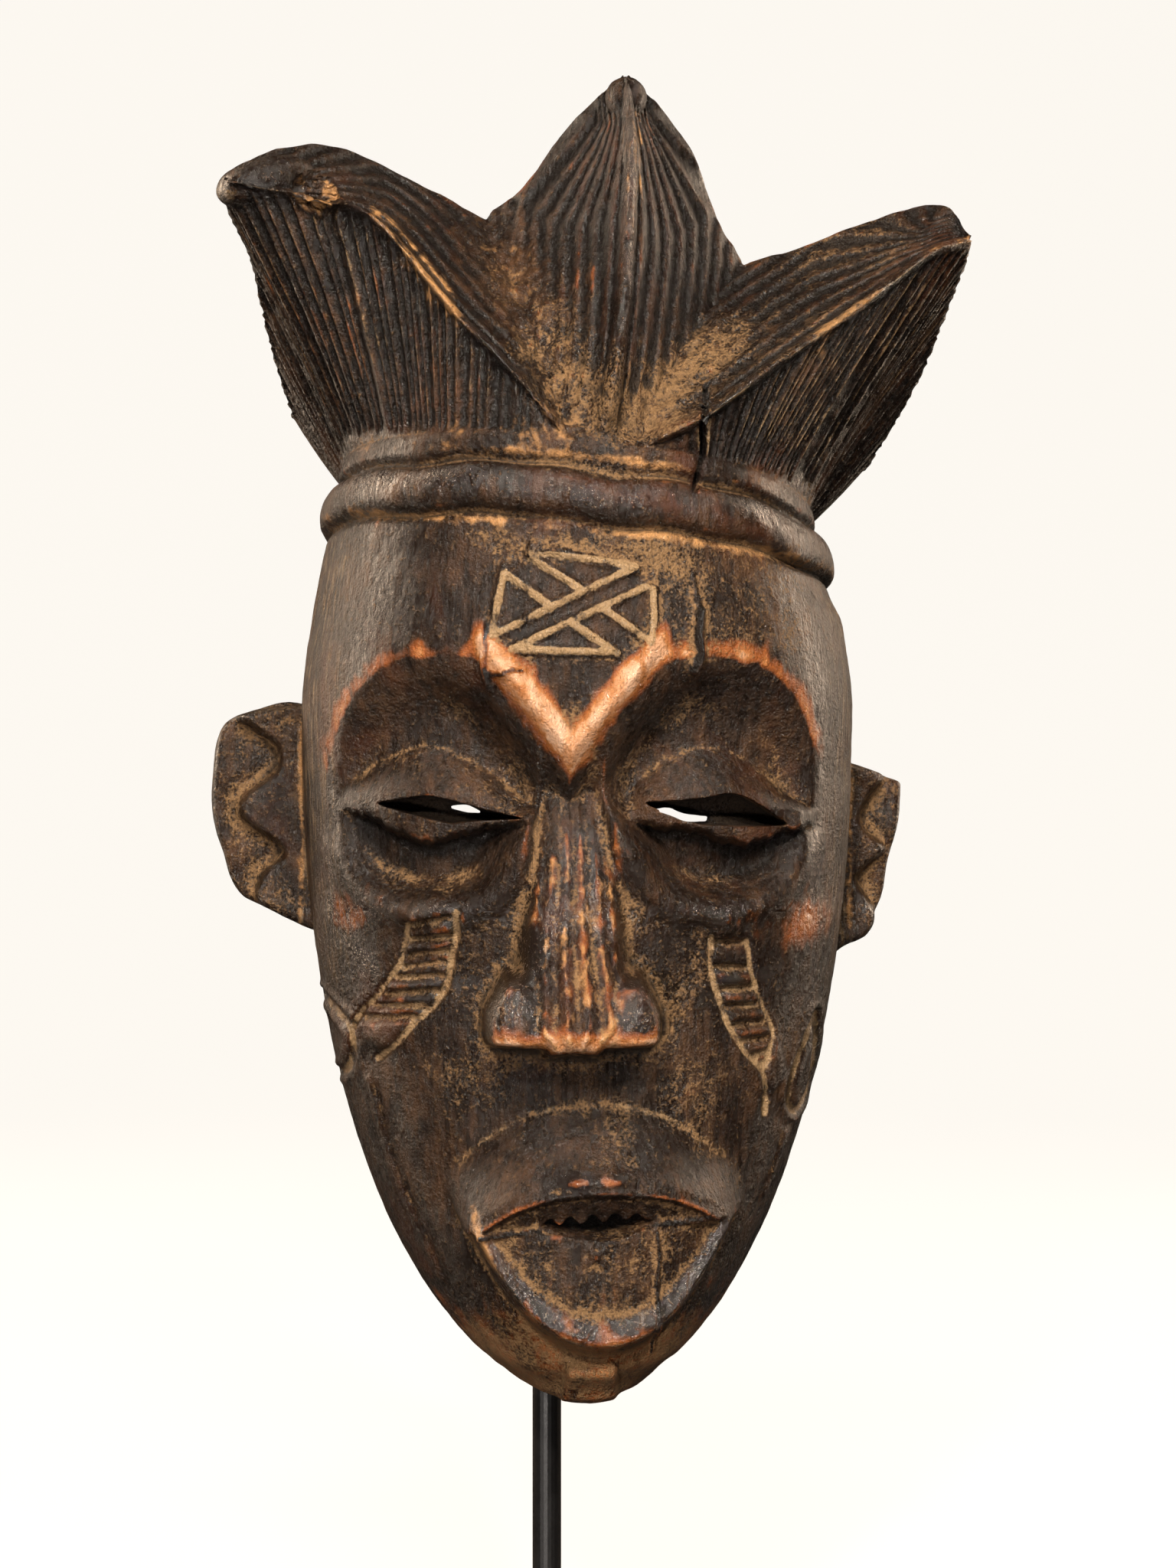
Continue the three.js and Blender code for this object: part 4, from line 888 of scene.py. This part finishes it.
facing, facing_up = ease(0.05, 0.45, normals[:, 1]), ease(0.3, 0.9, normals[:, 2])
front = ease(0.0, 0.25, normals[:, 1]) * ease(-2, 12, f)
high = z + 0.1 * x  # height along the band, which drops to the right
in_crown = ease(243, 250, high)
on_crown, on_face = in_crown * front, ease(226, 222, high) * front
patch = rough(points + 70, [11, 11, 14], 3)
fine = rough(points + 19, [2.2, 2.2, 4.5], 3)
strands = rough(points + 43, [1.5, 1.5, 24], 2)

# Rubbed red and gold: the V, the brow's arcs, the nose, the rings under the eyes, the lips, the chin.
# The V is rubbed so far that it turns pale, which partly paints its highlight.
on_vee = hump(vee_distance(x, z) + 2.8, 3.2) * ease(27, 20, np.abs(x - VEE_X)) * ease(150, 160, z)
brow, brow_reach = np.zeros_like(x), np.full(x.shape, 9.0)
for s in SOCKETS:
    r = ((np.abs(x - s["x"]) / s["half"]) ** 2.6 + (np.abs(z - SOCKET_Z) / SOCKET_UP) ** 2.6) ** (1 / 2.6)
    brow_reach = np.minimum(brow_reach, r)
    brow = highest(brow, ease(0.95, 1.0, r) * ease(1.17, 1.0, r) ** 1.3 * ease(158, 174, z))
nose_side = np.abs(x - NOSE_X)
on_nose = ease(14, 9, nose_side) * ease(92, 95, z) * ease(152, 140, z) * ease(55, 62, f)
nose_foot = ease(23.5, 21, nose_side) * hump(z - 95.5, 3.2) * ease(60, 66, f)
ring_sides = highest(hump(np.hypot(x + 61, z - 127), 8), hump(np.hypot(x - 58, z - 123), 9),
                     0.7 * hump(np.hypot((x - 46) * 0.7, z - 123), 5))
lip_bumps = highest(*[hump(np.hypot((x - at_x) * 0.6, z - LIP_BUMP_Z), 2.3) for at_x in LIP_BUMPS])
lip_line = hump(z - lip_edge(x), 1.1) * ease(33, 30, np.abs(x - 3)) * ease(8, 22, np.abs(x - 3))
cracked = highest(np.clip(crack_mask(x, z) / 1.4, 0, 1) * on_face,
                  ease(0.9, 0.3, from_line(CROWN_CRACK)) * ease(30, 40, f))
worn = (1.7 * on_vee + 0.60 * brow * (1 + 0.7 * patch + 0.6 * fine) + on_nose * (0.2 + 0.3 * sharp)
        + 0.8 * nose_foot + 0.55 * ring_sides + 0.32 * lip_bumps + 0.36 * lip_line + 0.44 * ease(40, 16, z))
worn = worn * on_face + 0.3 * ease(0.07, 0.25, sharp) * front + 0.28 * patch + 0.3 * fine
keep("worn", worn * (1 - cracked) * front)

# Bare wood: the keels, the bite, the crumbled valleys, the nose's ridges and the grooves of the band.
crests = [smooth_path(keel, 60)[:, [0, 2]] for keel in (LEFT_KEEL, MID_KEEL, RIGHT_KEEL)]
left_from, middle_from, right_from = [from_line(crest) for crest in crests]
over_left = (z - np.interp(-x, -crests[0][:, 0], crests[0][:, 1])) * 0.72
below_right = np.interp(x, crests[2][:, 0], crests[2][:, 1]) - z
golden = highest(
    hump(over_left - 1.6, 4.0) * ease(-30, -36, x) * ease(-58, -53, x) * (1.5 + 1.6 * patch) * (f > 45),
    0.8 * hump(middle_from - 2.0, 1.9) * ease(294, 304, z) * ease(341, 334, z) * (x > 9),
    0.95 * hump(right_from - 0.3, 2.0) * ease(50, 58, x) * (0.55 + 2.6 * patch))
for break_x, break_z, span in KEEL_BREAKS:
    from_break = np.hypot(x - break_x - 2, z - break_z + 2)
    golden = highest(golden, 0.8 * hump(from_break, span * 0.9) * (0.5 + 2 * patch) * (f > 45))
crumble = crumbled(x, z) * on_crown
bite = bitten(x, f, z)
bare = golden * (0.85 + 1.1 * fine) * mix(0.6, 1, facing)
bare += (0.95 + 2.0 * patch + 1.5 * fine) * bite + 0.36 * crumble * (0.5 + 2.4 * fine)
left_corner = [(-29.4, 52.5), (-28.5, 46.5), (-26, 40.5), (-22.8, 35)]
bare += 0.8 * hump(from_line(left_corner), 1.4) * ease(33, 40, z) * on_face
bare += on_nose * on_face * (0.16 + 0.6 * ease(0.0, 0.3, sharp) + 0.9 * strands)
ear_foot = hump(np.abs(x) - 75.2, 1.1) * ease(116, 122, z) * ease(182, 172, z)
bare += 0.7 * ear_foot * ease(-14, -6, f) * ease(14, 6, f)
grooves = hump(high - 223.9 - 1.5 * patch, 1.9) + 0.8 * hump(high - 241.8 - 1.2 * patch, 1.7)
bare += grooves * mix(0.75, 1, ease(50, 25, np.abs(x + 5))) * (0.62 + 1.1 * patch + 0.5 * fine) * front
collar = hump(high - 247, 3.2) * ease(-40, -34, x) * ease(4, -4, x)
bare += 0.5 * collar * (0.9 + patch + 0.6 * fine) * front
keep("bare", bare * (1 - cracked))

# Pale lines: the carved ornament, filled with dust, and the ridges between the crown's flutes, paler
# from wear and from painted sheen.
rails, rungs = ladder_masks(x, z)
lines = highest(ease(1.35, 0.6, knot_distance(x, z)), 0.9 * rails, 0.5 * rungs,
                0.5 * hump(z - lip_arch(x), 1.3) * ease(36, 30, np.abs(x - LIP_X)),
                0.55 * hump(z - jaw_edge(x) + 0.2, 0.8) * ease(34, 30, np.abs(x - JAW_X)),
                *[0.8 * ease(1.5, 0.6, from_line(smooth_path(oval, 24))) for oval in (LEFT_OVAL, RIGHT_OVAL)])
# The crown's ridges are lightened partly as wear and partly as painted sheen from their lit sides.
ridge_wear_and_sheen = ease(0.1, 0.55, broad) * on_crown * (1 - crumble)
wall_share = np.where((over_left < 0) & (x < 0), 0.72, 0.4) + 0.6 * (below_right > 0) * (x > 0)
keep("lines", lines * on_face * (0.85 + fine) + 0.62 * ridge_wear_and_sheen * wall_share * (1 + 0.8 * fine))

# Dust: in hollows, on the lids, beside the nose, on the jaw plate, the chin and the crown's root.
knot_field = ease(1.0, 0.8, np.hypot((x + 5) / 22, (z - 205) / 15))
below_lid, lid_skin = np.zeros_like(x), np.zeros_like(x)
for lid in LIDS:
    edge, top = line_height(lid["edge"], x), line_height(lid["top"], x)
    span = ease(25, 19, np.abs(x - lid["x"]))
    below_lid = highest(below_lid, ease(-0.5, 1.5, edge - z) * ease(10.5, 6.5, edge - z) * span)
    lid_skin = highest(lid_skin, (z > edge) * (z < top) * span)
above_jaw = z - jaw_edge(x)
plate = (z < MOUTH_Z + 2) * (above_jaw > 6) * ease(33, 30, np.abs(x - JAW_X))
bevel = (above_jaw < 5.5) * (above_jaw > -0.5) * ease(34, 31, np.abs(x - JAW_X))
dusty = 0.45 * ease(-12, 22, x + 10 * patch) * ease(184, 196, z)
dusty += 0.8 * hump(high - 219, 5) * ease(40, 20, np.abs(x + 4)) + 0.32 * lid_skin + 0.4 * plate
dusty += 0.5 * hump(np.abs(x + 3) - 27, 11) * ease(128, 112, z) * ease(74, 88, z)
dusty += 0.3 * ease(84, 78, z) * ease(60, 66, z) * ease(40, 28, np.abs(x))
dusty += 1.3 * ease(34, 15, z) * ease(42, 26, np.abs(x))
in_valleys = 0.40 * ease(300, 262, z) * ease(30, 14, from_line([(2.8, 246), (-20, 300)]))
in_valleys += 0.26 * ease(290, 258, z) * hump(from_line([(2.8, 246), (38, 286)]), 13)
dust = (0.5 * ease(0.04, -0.45, broad) + 0.4 * ease(0.0, -0.16, sharp)) * (1 - 0.8 * in_crown)
dust += 0.7 * patch + 0.8 * (dusty * on_face + in_valleys * on_crown) - 0.17 * on_face - 0.20 * in_crown
dust += 0.55 * crumble * (0.6 + 1.5 * fine)
dust += 0.55 * on_crown * hump(from_line([(22, 256), (80, 302)]) - 6, 9) * ease(4, -2, below_right)
dust += 0.45 * ease(76, 79, np.abs(x)) * ease(186, 182, z) * ease(105, 110, z)
# Less dust in the upper sockets and under the lids, so the painted shade there stays dark.
dust -= 0.22 * ease(1.0, 0.88, brow_reach) * ease(150, 160, z) * on_face * (1 - lid_skin)
dust -= (0.8 * knot_field + 0.9 * below_lid + 0.6 * bevel + 0.5 * on_vee) * on_face
dust -= 0.6 * hump(high - 232.5, 4)
zigzag_from = np.minimum.reduce([from_line(smooth_path(ear["zigzag"][1:-1], 50)) for ear in EARS])
on_ear = ease(75, 77, np.abs(x)) * ease(188, 184, z) * ease(104, 108, z) * ease(-10, -6, f) * facing
raised = ease(EAR_F + 1, EAR_F + 3, f)
dust += on_ear * (0.55 * hump(zigzag_from - 2, 2.2) * (1 - raised) - 0.4 * hump(zigzag_from, 1.2) * raised)
keep("dust", dust * (1 - cracked) * mix(0.5, 1, front))

# Darkness: the real cracks, and painted shade in the slits' insides, the hollows, the flutes' channels,
# the crown's faces that turn away from above, and under brow and lids.
before = np.full(x.shape, -50.0)
face_part = z < 222
before[face_part] = face_front(x[face_part], z[face_part])
# Painted shade on wood that lies well behind the face's front, inside the slits and the mouth.
sunk = ease(3.0, 6.5, before - f) * ease(-20, 0, f)
channel_shade = highest(ease(0.02, -0.11, sharp), ease(0.0, -0.32, broad)) * in_crown * 1.05 * (1 - crumble)
shade = highest(0.8 * ease(-0.1, -1.3, broad), channel_shade) * (1 - bite)
under_brow = ease(1.0, 0.86, brow_reach) * ease(166, 176, z)
# Painted shade also darkens the crown's faces that do not face upwards.
keep("deep", highest(shade, cracked, sunk) + (0.5 * below_lid + 0.38 * under_brow) * on_face
     + 0.26 * in_crown * (1 - facing_up))

# Polish, and the upright fibres of the head's sides, whose pale streaks are partly painted sheen.
crest_from = np.minimum.reduce([left_from, middle_from, right_from])
polish = 0.9 * on_vee + bevel + lip_bumps + nose_foot + 0.5 * hump(high - 232.5, 4.5) * facing
polish += 0.8 * ease(22, 18, np.abs(nose_side - 15.5) * 3) * hump(z - 101, 8)
polish += (0.7 * hump(z - 126.5, 3) + 0.7 * hump(brow_reach - 0.98, 0.07) * ease(152, 146, z)
           + 0.4 * rungs) * on_face
polish += on_ear * hump(zigzag_from, 1.6) * raised + 0.5 * hump(crest_from, 3) * in_crown
keep("polish", polish + 0.3 * ease(0.1, 0.3, sharp))
# The sides near the outline seen from the front: grain, and the painted sheen the sides catch there.
temple = ease(0.82, 0.95, np.abs(x) / half_width(np.clip(z, 0, 222))) * ease(95, 130, z)
temple = temple * ease(230, 222, high) * ease(-30, -8, f)
keep("fibre_and_sheen", temple * (0.75 + patch) * (1 - on_ear))

# The wood's look
# Dark waxed wood, redder and then gold where it is rubbed, pale where it is bare, dusty in the hollows and
# glossy where hands have polished it, with painted shade in the hollows and openings and painted sheen on
# the crown's ridges, the head's sides and the V. The patterns are finer than a millimetre to a few
# centimetres.
WOOD_DARK, WOOD_BROWN = (0.0085, 0.0040, 0.0022), (0.066, 0.030, 0.0125)
WOOD_DEEP_RED, WOOD_RED, WOOD_GOLD = (0.084, 0.024, 0.0075), (0.22, 0.060, 0.013), (0.46, 0.185, 0.056)
WOOD_BARE, PALE_WOOD_AND_HIGHLIGHT, SHADE_AND_CRACK_BLACK = (0.40, 0.200, 0.074), (0.66, 0.42, 0.28), (0.004, 0.0024, 0.0016)
DUST_TAN, LINE_AND_SHEEN_TAN = (0.205, 0.115, 0.050), (0.30, 0.19, 0.095)

wood = bpy.data.materials.new("carved_wood_worn")
wood.use_nodes = True
web, links = wood.node_tree.nodes, wood.node_tree.links
shader = web["Principled BSDF"]
where = web.new("ShaderNodeTexCoord")


def spots(scale, detail, stretch=(1, 1, 1), distort=0.0):
    turn = web.new("ShaderNodeMapping")
    turn.inputs["Scale"].default_value = stretch
    links.new(where.outputs["Object"], turn.inputs["Vector"])
    noise = web.new("ShaderNodeTexNoise")
    noise.inputs["Scale"].default_value = scale
    noise.inputs["Detail"].default_value = detail
    noise.inputs["Roughness"].default_value = 0.6
    noise.inputs["Distortion"].default_value = distort
    links.new(turn.outputs["Vector"], noise.inputs["Vector"])
    return noise.outputs["Fac"]


def ramp(value, low, high, out_low=0.0, out_high=1.0):
    node = web.new("ShaderNodeMapRange")
    node.interpolation_type = "SMOOTHSTEP"
    for socket, number in zip(("From Min", "From Max", "To Min", "To Max"), (low, high, out_low, out_high)):
        node.inputs[socket].default_value = number
    links.new(value, node.inputs["Value"])
    return node.outputs["Result"]


def worked(how, a, b):
    node = web.new("ShaderNodeMath")
    node.operation = how
    for socket, value in zip(node.inputs, (a, b)):
        if isinstance(value, (int, float)):
            socket.default_value = value
        else:
            links.new(value, socket)
    return node.outputs["Value"]


def plus(a, b):
    return worked("ADD", a, b)


def times(a, b):
    return worked("MULTIPLY", a, b)


def swing(noise, amount):
    return times(worked("SUBTRACT", noise, 0.5), amount)


def blended(share, a, b):
    node = web.new("ShaderNodeMix")
    node.data_type = "RGBA"
    for socket, value in zip((node.inputs[0], node.inputs[6], node.inputs[7]), (share, a, b)):
        if isinstance(value, tuple):
            socket.default_value = (*value, 1)
        else:
            links.new(value, socket)
    return node.outputs[2]


def kept(name):
    node = web.new("ShaderNodeAttribute")
    node.attribute_name = name
    return node.outputs["Fac"]


grain = spots(60, 6, (9, 9, 1.0), 0.3)
clouds = spots(45, 5)
blots = spots(130, 4, (1, 1, 0.6), 0.6)
specks = spots(1400, 4)
grit = spots(560, 4)
fibres = spots(150, 6, (8, 8, 0.8))
streaks = spots(170, 5, (5, 5, 0.35), 0.4)
stir = plus(times(grain, 0.4), plus(times(clouds, 0.5), times(blots, 0.4)))
tone = blended(ramp(stir, 0.59, 0.87), WOOD_DARK, WOOD_BROWN)
tone = blended(ramp(spots(28, 4, (1, 1, 0.7), 0.8), 0.52, 0.75, 0, 0.55), tone, WOOD_DEEP_RED)
worn_value = plus(kept("worn"), swing(blots, 0.9))
# Redder, then gold, then pale where most rubbed. The pale step is partly a painted highlight on the V.
for worn_low, worn_high, most, tint in ((0.25, 0.65, 1.0, WOOD_RED), (0.55, 1.15, 1.0, WOOD_GOLD),
                                        (0.85, 1.2, 0.9, PALE_WOOD_AND_HIGHLIGHT)):
    tone = blended(ramp(worn_value, worn_low, worn_high, 0, most), tone, tint)
bare_share = ramp(plus(plus(kept("bare"), swing(blots, 0.9)), swing(grit, 1.1)), 0.3, 0.95)
tone = blended(bare_share, tone, WOOD_BARE)
dust_share = ramp(plus(kept("dust"), plus(swing(specks, 2.9), swing(grit, 1.9))), 0.24, 1.15, 0, 0.92)
tone = blended(dust_share, tone, DUST_TAN)
# Pale tan for the dusty lines, also painted as sheen on the crown's ridges.
line_share = ramp(plus(kept("lines"), swing(specks, 0.7)), 0.3, 0.75, 0, 0.9)
tone = blended(line_share, tone, LINE_AND_SHEEN_TAN)
# Pale streaks on the head's sides: fibres, and painted sheen.
fibre_and_sheen_share = times(kept("fibre_and_sheen"), ramp(streaks, 0.48, 0.68, 0, 0.8))
tone = blended(fibre_and_sheen_share, tone, LINE_AND_SHEEN_TAN)
# Painted shade: the deep layer turns the hollows, openings, channels and the wood under brow and lids near
# black, with the cracks.
tone = blended(ramp(kept("deep"), 0.2, 0.9, 0, 0.92), tone, SHADE_AND_CRACK_BLACK)
links.new(tone, shader.inputs["Base Color"])
gloss = plus(ramp(grain, 0.3, 0.7, 0.21, 0.35), ramp(clouds, 0.35, 0.7, -0.02, 0.08))
for more in (times(dust_share, 0.45), ramp(kept("polish"), 0.1, 0.8, 0, -0.12), times(bare_share, 0.15),
             times(kept("fibre_and_sheen"), ramp(streaks, 0.44, 0.60, 0.22, 0))):
    gloss = plus(gloss, more)
links.new(worked("MINIMUM", worked("MAXIMUM", gloss, 0.13), 0.9), shader.inputs["Roughness"])
waxed = times(worked("SUBTRACT", 1.0, dust_share), ramp(kept("polish"), 0, 0.9, 0.24, 1.0))
waxed = times(waxed, ramp(fibres, 0.38, 0.62, 0.35, 1.0))
unwaxed = times(kept("fibre_and_sheen"), ramp(streaks, 0.44, 0.60, 0.9, 0))
waxed = times(waxed, worked("SUBTRACT", 1.0, unwaxed))
links.new(waxed, shader.inputs["Coat Weight"])
shader.inputs["IOR"].default_value = 1.5
shader.inputs["Specular IOR Level"].default_value = 0.22
shader.inputs["Coat Roughness"].default_value = 0.11


def bumped(height, deep, under=None):
    node = web.new("ShaderNodeBump")
    node.inputs["Strength"].default_value = 1.0
    node.inputs["Distance"].default_value = deep
    links.new(height, node.inputs["Height"])
    if under is not None:
        links.new(under, node.inputs["Normal"])
    return node.outputs["Normal"]


skin = bumped(grit, 0.0016, bumped(blots, 0.0018))
skin = bumped(streaks, 0.0013, bumped(fibres, 0.0004, skin))
skin = bumped(specks, 0.0010, skin)
links.new(skin, shader.inputs["Normal"])
links.new(bumped(grit, 0.0010, bumped(blots, 0.0016)), shader.inputs["Coat Normal"])
mask.data.materials.clear()
mask.data.materials.append(wood)
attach(mask, "root")
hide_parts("mask")

# The stand
# A round steel rod, the bent strip it ends in under the mask's roof, and a flat foot, all painted
# black and a little smeared.
steel = bpy.data.materials.new("black_painted_steel")
steel.use_nodes = True
web, links = steel.node_tree.nodes, steel.node_tree.links
shader = web["Principled BSDF"]
where = web.new("ShaderNodeTexCoord")
STEEL_BLACK, STEEL_GREY = (0.004, 0.0035, 0.0035), (0.009, 0.0078, 0.0075)
smears, grit = spots(30, 4), spots(900, 3)
links.new(blended(ramp(smears, 0.4, 0.7), STEEL_BLACK, STEEL_GREY), shader.inputs["Base Color"])
dull = plus(ramp(smears, 0.3, 0.7, 0.38, 0.5), ramp(grit, 0.3, 0.7, 0, 0.08))
links.new(dull, shader.inputs["Roughness"])
bump = web.new("ShaderNodeBump")
bump.inputs["Strength"].default_value = 0.25
bump.inputs["Distance"].default_value = 0.0001
links.new(grit, bump.inputs["Height"])
links.new(bump.outputs["Normal"], shader.inputs["Normal"])
for name in ("stand_rod", "stand_saddle", "stand_foot"):
    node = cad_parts[name]
    for place_in in node.material_slots:
        place_in.material = steel

# Floor, backdrop and light
# A round sweep of pale paper, flat under the stand and curving up into a wall on every side. It glows
# a little itself and throws no light on the wood, which soft lamps light from the front and sides.
PAPER_TONE, PAPER_GLOW, PAPER_BRIGHT = (0.10, 0.10, 0.10), (1.0, 0.962, 0.90), 0.94
FLAT_TO, SWEEP_ROUND, SWEEP_HIGH = 1.5, 1.2, 4.5  # metres
track = [(r, 0.0) for r in np.linspace(0.02, FLAT_TO, 8)]
for a in np.linspace(0, math.pi / 2, 20)[1:]:
    track.append((FLAT_TO + SWEEP_ROUND * math.sin(a), SWEEP_ROUND * (1 - math.cos(a))))
track += [(FLAT_TO + SWEEP_ROUND, SWEEP_HIGH)]
bpy.ops.object.select_all(action="DESELECT")
bpy.ops.mesh.primitive_circle_add(vertices=96, radius=track[0][0], fill_type="NGON")
sweep = bpy.context.active_object
sweep.name = sweep.data.name = "paper_sweep"
bpy.ops.object.mode_set(mode="EDIT")
bpy.ops.mesh.select_mode(type="EDGE")
bpy.ops.mesh.select_all(action="SELECT")
for (inner, low), (outer, high) in zip(track, track[1:]):
    bpy.ops.mesh.extrude_edges_move(TRANSFORM_OT_translate={"value": (0, 0, high - low)})
    bpy.ops.transform.resize(value=(outer / inner, outer / inner, 1))
bpy.ops.object.mode_set(mode="OBJECT")
sweep.data.shade_smooth()
sweep.visible_diffuse = sweep.visible_glossy = sweep.visible_shadow = False
paper = bpy.data.materials.new("pale_paper")
paper.use_nodes = True
web, links = paper.node_tree.nodes, paper.node_tree.links
paper_shader = web["Principled BSDF"]
where = web.new("ShaderNodeTexCoord")
paper_tint = blended(spots(3, 3), PAPER_TONE, tuple(c * 0.95 for c in PAPER_TONE))
links.new(paper_tint, paper_shader.inputs["Base Color"])
paper_shader.inputs["Roughness"].default_value = 1.0
paper_shader.inputs["Emission Color"].default_value = (*PAPER_GLOW, 1)
paper_shader.inputs["Emission Strength"].default_value = PAPER_BRIGHT
sweep.data.materials.append(paper)

MIDDLE = np.array([0.0, -0.02, 0.28])
# A lamp's name, its place, its width and height in metres, its watts and its colour.
LAMPS = [("overhead", (-0.10, -0.85, 1.12), (0.36, 0.18), 21, (1.0, 0.91, 0.79)),
         ("spot_left", (-0.25, -1.05, 0.75), (0.07, 0.07), 13, (1.0, 0.92, 0.81)),
         ("spot_right", (0.38, -0.95, 0.88), (0.07, 0.07), 13, (1.0, 0.92, 0.81)),
         ("low", (-0.35, -0.95, 0.02), (0.15, 0.08), 6.5, (1.0, 0.92, 0.86)),
         ("side_left", (-0.85, 0.66, 0.60), (0.3, 0.8), 12, (1.0, 0.77, 0.57)),
         ("side_right", (0.85, 0.66, 0.60), (0.3, 0.8), 8.5, (1.0, 0.77, 0.57))]
for name, stands_at, size, power, tint in LAMPS:
    lamp = bpy.data.lights.new(name, "AREA")
    lamp.shape, lamp.size, lamp.size_y = "RECTANGLE", size[0], size[1]
    lamp.energy, lamp.color = power, tint
    shown = bpy.data.objects.new(name, lamp)
    bpy.context.scene.collection.objects.link(shown)
    shown.location = stands_at
    toward = MIDDLE - np.array(stands_at)
    flat = math.hypot(toward[0], toward[1])
    shown.rotation_euler = (math.atan2(flat, -toward[2]), 0, math.atan2(-toward[0], toward[1]))
world = bpy.data.worlds.new("room") if bpy.context.scene.world is None else bpy.context.scene.world
bpy.context.scene.world = world
world.use_nodes = True
world.node_tree.nodes["Background"].inputs["Color"].default_value = (1.0, 0.90, 0.80, 1)
world.node_tree.nodes["Background"].inputs["Strength"].default_value = 0.025
bpy.context.scene.view_settings.view_transform = "Standard"

bpy.context.view_layer.update()
